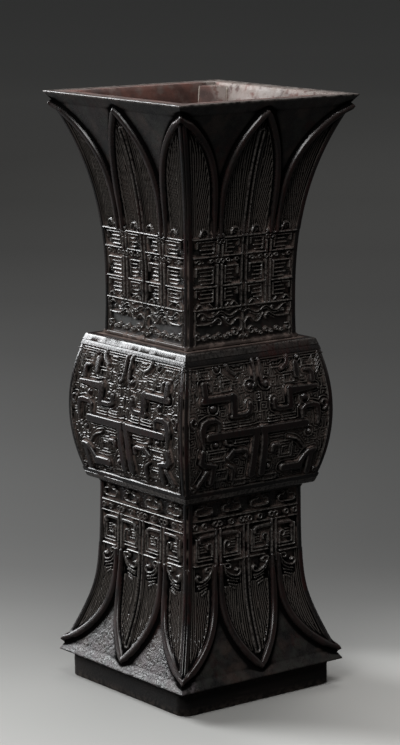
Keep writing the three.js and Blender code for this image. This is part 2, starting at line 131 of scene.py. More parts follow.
# %% A sheet of horn and the cuts made in it
class Sheet:
    def __init__(self, skin, heights, columns, whole=True):
        self.skin = skin
        self.z = np.repeat(heights[:, None], columns, 1)
        self.s = np.linspace(-1 if whole else 0, 1, columns)[None, :] * skin(self.z)
        self.rise = np.zeros_like(self.s)
        self.near = np.full_like(self.s, 9.0)
        self.polish = np.zeros_like(self.s)

    def window(self, path, margin):
        """The rows and columns that a path can reach, so that each cut works on no more."""
        low, high = path.min(0) - margin, path.max(0) + margin
        rows = np.where((self.z[:, 0] >= low[1]) & (self.z[:, 0] <= high[1]))[0]
        if not len(rows):
            return None
        rows = slice(rows[0], rows[-1] + 1)
        s = self.s[rows]
        across = np.where(((s >= low[0]) & (s <= high[0])).any(0))[0]
        return (rows, slice(across[0], across[-1] + 1)) if len(across) else None

    def beyond(self, path, half_widths, where):
        """How far each point is outside a band along the path, and the band's half width there."""
        s, z = self.s[where], self.z[where]
        best, half = np.full(s.shape, 1e9), np.ones(s.shape)
        pairs = zip(path[:-1], path[1:], half_widths[:-1], half_widths[1:])
        for (s0, z0), (s1, z1), wide0, wide1 in pairs:
            ds, dz = s1 - s0, z1 - z0
            along = np.clip(((s - s0) * ds + (z - z0) * dz) / (ds * ds + dz * dz + 1e-9), 0, 1)
            wide = wide0 + along * (wide1 - wide0)
            off = np.hypot(s - s0 - along * ds, z - z0 - along * dz) - wide
            nearer = off < best
            best, half = np.where(nearer, off, best), np.where(nearer, wide, half)
        return best, half

    def raised(self, path, width, rise, flank=0.4, dome=0.0, motif=False, polish=0.0):
        """A ridge along a path, with rounded shoulders; dome=1 rounds the whole of its top.
        A motif keeps the ground of spirals off, and polish marks where hands have rubbed."""
        path = np.asarray(path, float)
        half_widths = np.broadcast_to(np.asarray(width, float) / 2, len(path))
        where = self.window(path, half_widths.max() + 2.5)
        if where is None:
            return
        off, half = self.beyond(path, half_widths, where)
        side = np.clip((flank / 2 - off) / flank, 0, 1)
        side = side * side * (3 - 2 * side)
        shoulder = dome * half + (1 - dome) * np.minimum(0.5, half)
        worn_off = (0.3 + 0.6 * dome) * np.clip(1 + off / shoulder, 0, 1) ** 2
        body = rise * side * (1 - worn_off)
        self.rise[where] = np.maximum(self.rise[where], body)
        self.polish[where] = np.maximum(self.polish[where], max(polish, 0.5 * motif) * side)
        if motif:
            self.near[where] = np.minimum(self.near[where], off)

    def cut(self, path, width, depth):
        """A groove with soft sides."""
        path = np.asarray(path, float)
        where = self.window(path, 1.5 * width)
        if where is not None:
            off, _ = self.beyond(path, np.zeros(len(path)), where)
            self.rise[where] -= depth * np.exp(-((off / (width / 2)) ** 2))

    def knob(self, s, z, radius, rise, motif=True):
        """A round boss: a ridge so short that it is only its two ends."""
        self.raised([(s, z), (s, z + 0.001)], 2 * radius, rise, 0.3, 1.0, motif)

    def clear(self, s0, s1, z0, z1):
        """Take a field back to the plain ground."""
        inside = (self.s > s0) & (self.s < s1) & (self.z > z0) & (self.z < z1)
        self.rise[inside] = 0.0


def rounded(points, rounds=2):
    """The path with its corners cut off, a quarter of the way along each side."""
    path = np.asarray(points, float)
    for _ in range(rounds):
        near, far = path[:-1] * 0.75 + path[1:] * 0.25, path[:-1] * 0.25 + path[1:] * 0.75
        cut = np.stack([near, far], 1).reshape(-1, 2)
        path = np.vstack([path[:1], cut[1:-1], path[-1:]])
    return path


def arc(s, z, radius, start, sweep, inner=1.0, steps=16):
    """A curve round a place; the radius changes evenly to `inner` times what it was."""
    turn = np.linspace(0, 1, steps + 1)
    reach, angle = radius * (1 - (1 - inner) * turn), np.radians(start + sweep * turn)
    return np.stack([s + reach * np.cos(angle), z + reach * np.sin(angle)], 1)


trial = Sheet(neck_skin, np.linspace(190, 200, 60), 120)
trial.raised(arc(0, 195, 3, 0, 360), 1.0, 1.5)
print("a trial ring rises", round(float(trial.rise.max()), 2), "mm on", trial.rise.size, "points")

# %% [markdown]
# Two ways to fill a ground with square spirals. Beside the mask, single ones are drawn as paths and
# cut like any other line. The rest of the ground holds hundreds, so there a formula gives the
# height at every point at once: how many turns lie between the point and the middle of its own
# tile.

# %% Square spirals, single and as a ground
def square_curl(s0, z0, s1, z1, pitch, sides):
    """A square spiral in a box, from the corner s0, z1 along the top, down, back and inwards."""
    toward, wide, tall = np.sign(s1 - s0), abs(s1 - s0), z1 - z0
    low_x, high_x, low_y, high_y = 0.0, wide, 0.0, tall
    x, y = 0.0, tall
    points = [(x, y)]
    for side in range(sides):
        if side % 4 == 0:
            x, high_y = high_x, high_y - pitch
        elif side % 4 == 1:
            y, high_x = low_y, high_x - pitch
        elif side % 4 == 2:
            x, low_y = low_x, low_y + pitch
        else:
            y, low_x = high_y, low_x + pitch
        points.append((x, y))
    return [(s0 + toward * x, z0 + y) for x, y in points]


def spirals(s, z, pitch, tile_wide, tile_tall):
    """Ground of square spirals, neighbours mirrored: 0 in the cuts and 1 on the lines."""
    row = np.floor(z / tile_tall)
    shift = 0.5 * tile_wide * (row % 2)
    column = np.floor((s + shift) / tile_wide)
    x = ((s + shift) / tile_wide - column - 0.5) * tile_wide
    y = (z / tile_tall - row - 0.5) * tile_tall
    x = np.where((row + column) % 2 == 0, x, -x)
    y = np.where(row % 3 == 0, -y, y)
    ring = np.maximum(np.abs(x), np.abs(y)) + 1e-6
    turn = np.where(np.abs(x) >= np.abs(y), np.where(x > 0, y / ring, 4 - y / ring),
                    np.where(y > 0, 2 - x / ring, 6 + x / ring))
    line = 0.5 + 0.5 * np.cos(2 * np.pi * (ring / pitch - (turn + 1) / 8))
    return np.clip(1.6 * line - 0.3, 0, 1)


covered = spirals(trial.s, trial.z, 1.05, 5.25, 4.2).mean()
print("lines cover", round(100 * float(covered)), "% of a ground of spirals")


# %% [markdown]
# The neck's carving: plantain leaves on the flare, over three rows of key frets and a band of
# scrolling dragons. Its right half is carved and the left half is its mirror image, as on the real
# faces. The bold ribs of two neighbouring leaves come down side by side and go on as a double ridge
# between the frets.

# %% Plantain leaves
def leaf_edge(skin, z, leaf_z, tip_z, fullness):
    """How far a leaf's edge is from its vein; a fuller leaf stays wide for longer."""
    way = np.clip((z - leaf_z) / (tip_z - leaf_z), 0, 1)
    return (skin(z) / 2 - 1.6) * (1 - way**fullness)


def carve_leaf(sheet, skin, corner, root_z, leaf_z, tip_z, rib_wide, rib_rise):
    """Half a leaf, its vein on the face's middle line or, for a corner leaf, on the corner."""
    up = np.sign(tip_z - leaf_z)
    fullness = 2.8 if corner else 2.0

    def across(z, from_vein):
        return skin(z) - from_vein if corner else from_vein

    z = np.concatenate([np.linspace(root_z, leaf_z, 12)[:-1], np.linspace(leaf_z, tip_z, 60)])
    edge = leaf_edge(skin, z, leaf_z, tip_z, fullness)
    from_vein = across(sheet.z, sheet.s)
    inside = leaf_edge(skin, sheet.z, leaf_z, tip_z, fullness) - from_vein
    blade = ((sheet.z - root_z) * up > 0) & ((tip_z - sheet.z) * up > 1.5) & (inside > 0)
    follow = np.where(from_vein < 0.40 * (from_vein + inside), from_vein, 40 - inside)
    spread = 0.92 * skin(sheet.z) / skin(root_z)
    hair = np.clip(1.6 * (0.5 + 0.5 * np.cos(2 * np.pi * follow / spread)) - 0.4, 0, 1)
    sheet.rise = np.where(blade, np.maximum(sheet.rise, 0.55 * hair), sheet.rise)
    grown = np.clip((z - root_z) * up / ((leaf_z - root_z) * up + 6.0), 0, 1)
    widths = 1.7 + (rib_wide - 1.7) * grown * np.clip((tip_z - z) * up / 3.0 + 0.35, 0, 1)
    sheet.raised(np.stack([across(z, edge), z], 1), widths, rib_rise, 0.5, 0.5, polish=1.0)
    line_z = np.linspace(root_z, tip_z - up * 6.0, 50)
    line = leaf_edge(skin, line_z, leaf_z, tip_z, fullness) - rib_wide / 2 - 1.0
    sheet.raised(np.stack([across(line_z, np.maximum(line, 1.2)), line_z], 1), 0.5, 0.95, 0.3)


def carve_vein(sheet, root_z, end_z):
    """Half of a double line up the middle of the face, with a round end."""
    up = np.sign(end_z - root_z)
    stop = end_z - up * 1.1
    widths = np.linspace(1.3, 0.9, 20)
    z = np.linspace(root_z, stop, 20)
    sheet.raised(np.stack([1.15 + 0 * z, z], 1), widths, 1.45, 0.35, 0.4, polish=0.3)
    sheet.raised(arc(0, stop, 1.15, 0, up * 90), 0.9, 1.4, 0.35, 0.5)


def carve_corner(sheet, skin, low_z, high_z, wide, rise):
    """The bead down the corner of a face."""
    z = np.linspace(low_z, high_z, 60)
    sheet.raised(np.stack([skin(z) - wide / 2, z], 1), wide, rise, 0.35, 0.35)


widest = 2 * leaf_edge(neck_skin, neck_leaf_z, neck_leaf_z, neck_tip_z, 2.0)
print("a leaf on the neck is up to", round(float(widest), 1), "mm wide")

# %% [markdown]
# Key frets stand in three rows between the upright ridges. Each is a comb of bars with a hooked
# spine. A comb could be an image repeated over the band, but the real ones face each other in pairs
# and shrink from row to row, so one function draws a comb between any two lines and two heights.

# %% Key frets and lines
def key_fret(sheet, outer, inner, foot, top, bars, wide=0.6):
    """A comb: the spine goes up the inner line, over the top and down past the ends of the bars."""
    way = np.sign(inner - outer)
    spine = [(inner, foot), (inner, top), (outer, top), (outer, (foot + top) / 2)]
    sheet.raised(spine, wide, 1.25, 0.26)
    for number, level in enumerate(np.linspace(foot, top, bars + 1)[:-1]):
        end = outer + way * (2.0 if number % 2 else 2.9)
        sheet.raised([(inner, level), (end, level)], wide - 0.08, 0.88, 0.26)


def level_line(sheet, z, wide, rise, start=0.0, end=60.0):
    """A plain line across the face, from its middle to past the corner if no ends are given."""
    sheet.raised([(start, z), (end, z)], wide, rise, 0.3)


def small_ring(sheet, s, z, radius, wide=0.55, rise=1.3):
    sheet.raised(arc(s, z, radius, 0, 360), wide, rise, 0.25)


# %% [markdown]
# The whole neck: leaves, a row of small arches on their roots, the frets with rings on the ridges
# between them, a plain bead down the corner, and the scrolls below.

# %% The neck sheet
def carve_neck(heights, columns):
    sheet = Sheet(neck_skin, heights, columns, whole=False)
    s, z = sheet.s, sheet.z
    for corner in (False, True):
        carve_leaf(sheet, neck_skin, corner, fret_top_z - 1.0, neck_leaf_z, neck_tip_z, 3.1, 2.0)
    sheet.rise = np.where(z < fret_top_z, 0.0, sheet.rise)
    for spot in (5.4, 21.0):
        hump = [(spot - 2.3, 187.2), (spot - 2.1, 188.6), (spot - 1.0, 189.9), (spot + 0.5, 190.0),
                (spot + 1.6, 189.0), (spot + 2.0, 187.3)]
        sheet.raised(rounded(hump), 0.65, 1.5, 0.3)
        sheet.raised(arc(spot + 0.1, 188.2, 0.8, 150, -280, 0.4), 0.45, 1.2, 0.25)
        spur = [(spot - 4.2, 187.4), (spot - 3.3, 188.4), (spot - 2.6, 188.0)]
        sheet.raised(spur, 0.55, 1.2, 0.25)
    frets = (z > fret_foot_z) & (z < fret_top_z)
    ground = 0.16 * spirals(s, z, 0.75, 3.4, 2.6)
    sheet.rise = np.where(frets, np.maximum(sheet.rise, ground), sheet.rise)
    carve_vein(sheet, 157.5, 228.5)
    for spot in (11.35, 13.55):
        sheet.raised([(spot, fret_foot_z), (spot, 187.5)], 1.35, 1.55, 0.4, 0.4)
        for ring_z in (185.1, 177.4):
            sheet.clear(spot - 1.1, spot + 1.1, ring_z - 1.3, ring_z + 1.3)
            small_ring(sheet, spot, ring_z, 0.8, 0.5, 1.6)
    for outer, inner in ((3.05, 9.43), (24.05, 15.48)):
        way = np.sign(inner - outer)
        key_fret(sheet, outer, inner, 180.3, 185.2, 3)
        key_fret(sheet, outer, inner, 168.5, 174.9, 4)
        key_fret(sheet, outer, inner, 161.3, 166.1, 3)
        for place, turn in ((outer + way * 0.9, 1), (inner - way * 1.2, -1)):
            sheet.raised(arc(place, 177.2, 1.15, 90 + 90 * turn * way, -way * turn * 320, 0.3), 0.6,
                         1.4, 0.25)
        sheet.knob(outer + way * 3.2, 176.9, 0.55, 1.3, motif=False)
        hook = [(outer, 159.3), (outer + way * 1.4, 160.8), (outer + way * 2.6, 160.5),
                (outer + way * 3.2, 159.4)]
        sheet.raised(rounded(hook), 0.62, 1.4, 0.28)
        sheet.raised([(inner - way * 0.4, 159.3), (inner - way * 1.7, 160.4)], 0.62, 1.3, 0.28)
    for z_line, wide in ((fret_top_z, 0.85), (179.1, 0.6), (167.3, 0.75)):
        level_line(sheet, z_line, wide, 1.6, 0.0 if z_line == fret_top_z else 0.9, 10.6)
        level_line(sheet, z_line, wide, 1.6, 14.3, neck_skin(z_line) - 2.4)
    level_line(sheet, fret_foot_z, 0.8, 1.6, 0.0, 25.1)
    carve_corner(sheet, neck_skin, 141.0, 233.8, 2.3, 1.1)
    carve_dragons(sheet)
    return sheet


# %% [markdown]
# The scrolls are two dragons, drawn as loose as handwriting: long waved strokes, some with a
# thinner one beneath, and small curls. They are set out on a larger drawing, 625 units from the
# middle line to the corner bead, and `at` brings a place on it to the size of the vase.

# %% The band of scrolls at the neck's foot
def carve_dragons(sheet):
    level_line(sheet, 143.9, 1.6, 1.0)
    sheet.raised([(0.0, 144.5), (0.0, 157.4)], 0.6, 1.1, 0.3)
    sheet.raised([(24.3, 144.5), (24.3, 157.4)], 0.45, 1.0, 0.3)

    def at(points):
        return [((625 - x) * 0.0442, 192 - y / 14) for x, y in points]

    strokes = (
        [(95, 500), (125, 482), (160, 487), (190, 500), (215, 514), (270, 516), (320, 496),
         (350, 484), (390, 488), (430, 508), (480, 516), (530, 500), (575, 486), (612, 500)],
        [(90, 548), (150, 552), (235, 550), (275, 541), (320, 520), (355, 528), (375, 548),
         (350, 560)],
        [(395, 520), (420, 545), (455, 566), (490, 566), (520, 545), (560, 532), (595, 545),
         (612, 572), (600, 604), (566, 606)],
        [(250, 470), (215, 476), (185, 470)], [(415, 474), (440, 486), (475, 478), (505, 470)],
        [(70, 480), (62, 505), (80, 530)],
    )
    for points in strokes:
        sheet.raised(rounded(at(points)), 0.56, 1.4, 0.28, 0.2)
    for points in strokes[:2]:
        beneath = rounded(at(points)) - (0.0, 1.05)
        sheet.raised(beneath[8:-6], 0.42, 1.05, 0.26)
    curls = ((530, 612, 1.7, 60, 400), (100, 618, 1.6, 120, -400), (170, 632, 1.0, 200, -330),
             (232, 622, 1.1, 20, 330), (296, 632, 1.0, 200, -330), (356, 622, 1.1, 20, 330),
             (420, 634, 1.0, 200, -330), (470, 622, 0.9, 20, 330), (590, 640, 0.9, 200, -330),
             (440, 538, 0.9, 20, 330), (285, 498, 0.8, 20, 330), (160, 520, 0.8, 200, -330))
    for x, y, size, start, sweep in curls:
        (s, z), = at([(x, y)])
        sheet.raised(arc(s, z, size, start, sweep, 0.25, 24), 0.55, 1.35, 0.25)


# %% [markdown]
# The belly's carving: a taotie, the mask of old bronzes, split by a nose ridge. Its horns, brows,
# eyes and jaws are smooth straps that stand above a ground of fine square spirals. The two halves
# differ in their brow hooks, and the next face round carries the mask's mirror image, so that
# every corner of the vase has a matching pair.
#
# Each part of the mask is a strap: a path, as places across from the middle line and up the face,
# with the strap's width, or several widths where it tapers. The eyes and other bosses are a place
# and a radius. Lists like these are quick to correct against the real face, one line for each part.

# %% The mask's parts
both_halves = [
    ([(1.6, 138.0), (1.6, 129.4), (3.2, 127.7)], 1.3),
    ([(1.0, 110.7), (2.4, 109.4), (2.6, 93.0)], 3.2)]
hook_half = [
    ([(24.1, 128.4), (24.1, 131.0), (25.4, 131.6)], 1.3), ([(27.3, 131.0), (27.3, 126.6)], 2.7),
    ([(28.4, 124.9), (12.8, 124.9)], 2.6), ([(13.4, 125.2), (13.4, 118.4)], 3.0),
    ([(14.4, 117.5), (5.4, 117.5), (5.2, 121.6)], 1.9),
    ([(21.2, 112.9), (21.2, 116.9), (28.6, 117.0), (29.8, 112.4), (28.8, 106.4)],
     (1.4, 1.8, 2.4, 3.4, 1.0)),
    ([(26.2, 110.5), (2.0, 110.5)], 3.0), ([(17.8, 108.4), (17.4, 106.5), (14.4, 106.0)], 1.0),
    ([(6.8, 100.9), (6.8, 103.4), (12.0, 103.4)], 1.7), ([(13.4, 103.6), (15.8, 101.2)], 2.0),
    ([(29.0, 104.8), (29.3, 99.6), (21.8, 98.6)], (2.2, 2.8, 1.6)),
    ([(22.9, 98.4), (22.9, 91.8)], 2.2), ([(26.0, 96.6), (29.4, 91.2)], 1.8),
    ([(12.2, 92.0), (12.5, 96.2), (15.4, 98.2)], (1.9, 1.9, 0.9)),
    ([(14.6, 137.3), (14.3, 135.2), (11.4, 133.6)], 1.5)]
block_half = [
    ([(24.4, 131.7), (27.6, 131.2), (27.7, 127.2)], (1.3, 2.0, 2.2)),
    ([(29.8, 124.6), (16.0, 124.3)], (1.8, 3.2)), ([(15.5, 125.0), (15.5, 118.6)], 2.7),
    ([(16.2, 117.8), (7.6, 117.8), (7.4, 121.6)], 2.0),
    ([(21.8, 113.0), (21.8, 117.2), (29.4, 117.6), (30.3, 114.6), (30.0, 109.6)],
     (1.5, 1.9, 2.4, 2.4, 1.2)),
    ([(23.6, 110.4), (2.0, 110.4)], 3.2), ([(15.2, 105.6), (20.0, 104.3), (23.2, 100.8)], 1.0),
    ([(13.6, 93.2), (22.2, 93.2)], 3.0), ([(22.4, 94.2), (25.4, 98.2), (29.4, 98.8)], 2.0),
    ([(27.3, 97.6), (27.1, 89.8)], 2.6), ([(16.0, 137.4), (15.6, 134.8), (12.8, 133.3)], 1.9),
    ([(19.8, 134.4), (19.8, 130.0)], 2.6), ([(6.6, 101.2), (6.6, 103.4), (9.6, 103.4)], 1.5)]
hook_bosses = [(23.3, 121.6, 1.9), (4.3, 128.5, 1.7), (19.4, 136.4, 1.2), (22.2, 107.2, 1.5),
               (5.3, 121.4, 1.2)]
block_bosses = [(23.4, 121.0, 1.9), (4.3, 128.5, 1.7), (21.4, 136.8, 1.1), (25.9, 106.6, 1.4),
                (6.0, 94.8, 1.4), (7.5, 121.4, 1.2)]
print("mask parts:", len(both_halves + hook_half), "and", len(both_halves + block_half))


# %% The belly sheet
def carve_mask_half(sheet, side, straps, bosses, hooked):
    """Half of the mask: side is 1 at the right of the nose and -1 at the left."""
    def line(points, wide=0.5, rise=1.15):
        sheet.raised(np.asarray(points, float) * (side, 1), wide, rise, 0.26)

    for points, wide in both_halves + straps:
        path = rounded(points, 1)
        if isinstance(wide, tuple):
            places = np.linspace(0, 1, len(wide))
            wide = np.interp(np.linspace(0, 1, len(path)), places, wide)
        sheet.raised(path * (side, 1), np.multiply(wide, 1.12), 1.8, 0.3, 0.08, motif=True)
    for s, z, radius in bosses:
        sheet.knob(side * s, z, radius, 1.85)
        line(arc(s, z, radius + 0.75, 0, 360), 0.45, 1.0)
    for level in (136.5, 135.2, 133.9):
        line([(8.0, level), (11.4, level)])
    for level in (115.3, 114.2, 113.1):
        line([(4.6, level), (10.2, level)])
        line([(11.6, level), (18.4, level)])
    for level in (107.8, 106.6):
        line([(5.6, level), (12.4, level)])
    line(square_curl(23.6, 133.0, 29.2, 137.0, 1.1, 6))
    line(square_curl(13.6, 127.6, 18.6, 131.6, 1.1, 6))
    for reach in (0.0, 1.5, 3.0, 4.5):
        bow = [(33.6, 137.4 - reach), (31.8, 136.2 - reach), (30.8, 134.0 - reach)]
        line(rounded(bow))
    if hooked:
        line(square_curl(17.2, 100.2, 26.6, 105.0, 1.1, 7))
        line(square_curl(20.4, 92.2, 14.8, 96.4, 1.1, 5))
    else:
        line(square_curl(11.0, 97.6, 17.4, 104.2, 1.1, 9))
        line(square_curl(24.8, 90.0, 19.2, 91.2, 1.1, 2))
    line(square_curl(4.8, 88.9, 11.0, 91.0, 1.05, 4))
    scroll = arc(33.2, 117.2, 2.3, -80, 330, 0.25, 24)
    sheet.raised(scroll * (side, 1), np.linspace(1.5, 0.7, len(scroll)), 1.5, 0.3, 0.3, motif=True)
    curl = arc(31.4, 89.4, 1.7, -90, 420, 0.25, 24)
    sheet.raised(curl * (side, 1), 0.8, 1.3, 0.3, 0.3, motif=True)


def carve_belly(heights, columns):
    sheet = Sheet(belly_skin, heights, columns)
    carve_mask_half(sheet, -1, hook_half, hook_bosses, True)
    carve_mask_half(sheet, 1, block_half, block_bosses, False)
    s, z = sheet.s, sheet.z
    contour = 0.5 + 0.5 * np.cos(2 * np.pi * (sheet.near - 0.9) / 1.05)
    all_over = spirals(np.abs(s), z - 0.45 * np.round(s / 9.0), 1.05, 5.25, 4.2)
    ground = 0.52 * np.where(sheet.near < 1.8, np.clip(1.6 * contour - 0.3, 0, 1), all_over)
    field = (z > 88.4) & (z < 137.2) & (np.abs(s) < belly_skin(z) - 2.6)
    fresh = field & (sheet.rise < 0.25) & (sheet.near > 0.1)
    sheet.rise = np.where(fresh, np.maximum(sheet.rise, ground), sheet.rise)
    sheet.cut([(0, 137.0), (0, 90.0)], 0.5, 0.5)
    level_line(sheet, 138.9, 2.8, 1.0, -60.0)
    level_line(sheet, 137.0, 0.5, 1.15, -60.0)
    level_line(sheet, 86.9, 1.9, 1.0, -60.0)
    sheet.cut([(-60, 138.1), (60, 138.1)], 0.4, 0.4)
    edge_z = np.linspace(86.0, 140.5, 60)
    for side in (-1, 1):
        border = np.stack([side * (belly_skin(edge_z) - 1.05), edge_z], 1)
        sheet.raised(border, 2.1, 1.0, 0.4, 0.2)
        inner_edge = np.stack([side * (belly_skin(edge_z[3:-3]) - 2.4), edge_z[3:-3]], 1)
        sheet.raised(inner_edge, 0.5, 1.35, 0.3)
    sheet.rise = np.where((z < 86.4) | (z > 140.1), 1.0, sheet.rise)
    return sheet


# %% [markdown]
# The stem's carving, from the top: a band of flat open loops, a band of small rings, a band of
# hooked frets, and plantain leaves hanging down the skirt, their heads drawn as double crescents.
# The leaves are the neck's, made again the other way up, and each new motif is a short function
# that draws between two upright lines, so it serves every column of the band.

# %% Leaf heads, loops and hooked frets
def carve_leaf_head(sheet, rib, vein):
    """Crescents between a leaf's rib, where `across` is 0, and its vein, where it is 1."""
    way, wide = np.sign(vein - rib), abs(vein - rib)

    def at(points):
        return [(rib + way * wide * across, z) for across, z in points]

    crescent = [(0.0, 55.8), (0.05, 54.0), (0.28, 51.9), (0.60, 50.7), (0.86, 50.6), (1.00, 51.8),
                (0.96, 53.1), (0.83, 53.3), (0.76, 52.6)]
    sheet.raised(rounded(at(crescent)), 0.8, 1.6, 0.3, 0.3)
    inner_crescent = [(0.04, 53.6), (0.14, 51.6), (0.36, 50.2), (0.62, 49.3), (0.88, 49.1)]
    sheet.raised(rounded(at(inner_crescent)), 0.6, 1.35, 0.3)
    for across, z in ((0.26, 49.2), (0.32, 47.8), (0.38, 46.5)):
        sheet.raised(at([(across, z), (0.82 - 0.06 * (49.2 - z), z - 1.2)]), 0.55, 1.1, 0.28)
    hook = [(0.06, 55.9), (0.28, 56.1), (0.42, 55.2), (0.36, 54.1), (0.22, 54.3)]
    sheet.raised(rounded(at(hook)), 0.65, 1.4, 0.3)


def carve_loop(sheet, outer, inner):
    """A flat loop, open at the top, where its two ends curl up and inwards."""
    way = np.sign(inner - outer)
    loop = [(outer + way * 2.9, 80.2), (outer + way * 0.6, 80.2), (outer - way * 0.3, 79.3),
            (outer - way * 0.3, 78.1), (outer + way * 0.6, 77.2), (inner - way * 0.6, 77.2),
            (inner + way * 0.3, 78.1), (inner + way * 0.3, 79.3), (inner - way * 0.6, 80.2),
            (inner - way * 2.1, 80.2)]
    sheet.raised(rounded(loop), 0.58, 1.5, 0.28)
    for place, turn in ((outer + way * 2.9, way), (inner - way * 2.1, -way)):
        sheet.raised(arc(place, 81.0, 0.85, -90, turn * 260, 0.5), 0.5, 1.45, 0.25)


def carve_hooked_fret(sheet, outer, inner):
    """Two nested angles with a shoulder over them, a hook at the inner side, and bars."""
    way = np.sign(inner - outer)
    foot, top = hook_foot_z + 2.4, ring_foot_z - 1.2
    sheet.raised([(outer, top - 1.8), (outer, foot), (inner, foot)], 0.55, 1.5, 0.28)
    within = outer + way * 1.2
    sheet.raised([(within, top - 3.4), (within, foot + 1.2), (inner, foot + 1.2)], 0.5, 1.3, 0.28)
    shoulder = [(inner + way * 1.2, top - 0.9), (outer + way * 2.6, top - 0.9),
                (outer + way * 1.3, top - 1.8), (outer + way * 1.4, top - 3.0)]
    sheet.raised(rounded(shoulder), 1.7, 1.65, 0.3, 0.1)
    hook = [(inner, foot + 1.2), (inner, 64.4), (inner - way * 0.9, 65.6),
            (inner - way * 2.4, 65.4), (inner - way * 2.9, 64.2), (inner - way * 2.2, 63.2)]
    sheet.raised(rounded(hook), 0.8, 1.55, 0.3, 0.2)
    for level, reach in ((65.6, 4.6), (64.5, 4.2), (63.4, 4.2), (62.3, 5.6)):
        sheet.raised([(outer + way * 2.3, level), (outer + way * reach, level)], 0.45, 0.95, 0.28)


# %% The stem sheet
def carve_stem(heights, columns):
    sheet = Sheet(stem_skin, heights, columns, whole=False)
    s, z = sheet.s, sheet.z
    for corner in (False, True):
        carve_leaf(sheet, stem_skin, corner, hook_foot_z, skirt_leaf_z, skirt_tip_z, 3.4, 2.1)
    bands = (z > hook_foot_z) & (z < 83.0)
    ground = 0.2 * spirals(s, z, 0.75, 3.3, 2.7)
    sheet.rise = np.where(bands, np.maximum(sheet.rise * (z < 56.0), ground), sheet.rise)
    for near, far in ((2.3, 12.0), (26.4, 17.4)):
        sheet.clear(min(near, far) + 0.6, max(near, far) - 0.4, 47.0, 56.4)
    for spot in (13.43, 15.62):
        sheet.raised([(spot, 54.0), (spot, 70.8)], (1.6, 1.35), 1.65, 0.4, 0.4)
    carve_vein(sheet, 70.8, 19.8)
    for outer, inner in ((3.05, 11.5), (25.6, 17.55)):
        carve_loop(sheet, outer, inner)
        carve_hooked_fret(sheet, outer, inner)
    for spot in (0.0, 2.1, 7.5, 13.4, 15.7, 21.4, 26.0):
        sheet.clear(spot - 1.5, spot + 1.5, 71.3, 74.6)
        small_ring(sheet, spot, 72.95, 1.0, 0.55, 1.5)
    carve_leaf_head(sheet, 11.4, 3.1)
    carve_leaf_head(sheet, 17.8, 25.6)
    for z_line, wide in ((loop_foot_z, 0.7), (ring_foot_z, 0.6)):
        level_line(sheet, z_line, wide, 1.5, 0.0, stem_skin(z_line) - 2.3)
    for start, end in ((0.4, 9.6), (17.8, 26.7)):
        level_line(sheet, hook_foot_z + 0.6, 0.6, 1.5, start, end)
    level_line(sheet, 82.9, 1.7, 0.9)
    carve_corner(sheet, stem_skin, 16.4, 85.0, 2.3, 1.15)
    return sheet


# %% [markdown]
# Arithmetic on sockets. Both the panels and the finishes are made by node trees, and a formula is
# far easier to read as a line of Python than as a web of nodes. This small class wraps one socket.
# An operator on it adds the Math node that does the sum, and `node` adds any other kind of node.


# %% A socket that can be used in a formula
class Link:
    def __init__(self, tree, socket):
        self.tree, self.socket = tree, socket

    def node(self, kind, settings=None, inputs=None, output=0):
        """Add a node with these properties. A Link given for an input is joined to it, anything
        else is set on it; `output` picks the socket that the new Link wraps."""
        made = self.tree.nodes.new(kind)
        for name, value in (settings or {}).items():
            if name == "stops":
                ramp = made.color_ramp
                while len(ramp.elements) < len(value):
                    ramp.elements.new(1.0)
                for element, (place, colour) in zip(ramp.elements, value):
                    element.position, element.color = place, colour
            else:
                setattr(made, name, value)
        for key, value in (inputs or {}).items():
            if isinstance(value, Link):
                self.tree.links.new(value.socket, made.inputs[key])
            else:
                made.inputs[key].default_value = value
        return Link(self.tree, made.outputs[output])

    def maths(self, operation, *values):
        return self.node("ShaderNodeMath", {"operation": operation}, dict(enumerate(values)))

    def __add__(self, other):
        return self.maths("ADD", self, other)

    def __radd__(self, other):
        return self.maths("ADD", other, self)

    def __sub__(self, other):
        return self.maths("SUBTRACT", self, other)

    def __rsub__(self, other):
        return self.maths("SUBTRACT", other, self)

    def __mul__(self, other):
        return self.maths("MULTIPLY", self, other)

    def __rmul__(self, other):
        return self.maths("MULTIPLY", other, self)

    def __truediv__(self, other):
        return self.maths("DIVIDE", self, other)

    def __rtruediv__(self, other):
        return self.maths("DIVIDE", other, self)

    def __pow__(self, power):
        return self.maths("POWER", self, power)

    def greater(self, other):
        return self.maths("MAXIMUM", self, other)

    def root(self):
        return self.maths("SQRT", self)

    def rising(self, low, high):
        """0 below low, 1 above high and a smooth way between; it falls where low is the larger."""
        return self.node("ShaderNodeMapRange", {"interpolation_type": "SMOOTHSTEP", "clamp": True},
                         {"Value": self, "From Min": low, "From Max": high})


# %% [markdown]
# Bending the sheets. The carved sheet of a panel is flat, and the panel isn't: it follows the side
# drawing, and its relief stands square to the slope of the face. A curve modifier would do for a
# tube, but the mitred edges here must meet their neighbours exactly. So one Geometry Nodes tree for
# each stage reads how far a point is across, up and out of the flat sheet, and works out its place
# from the stage's formula. The sizes, the number of quarter turns and the finish are its inputs.


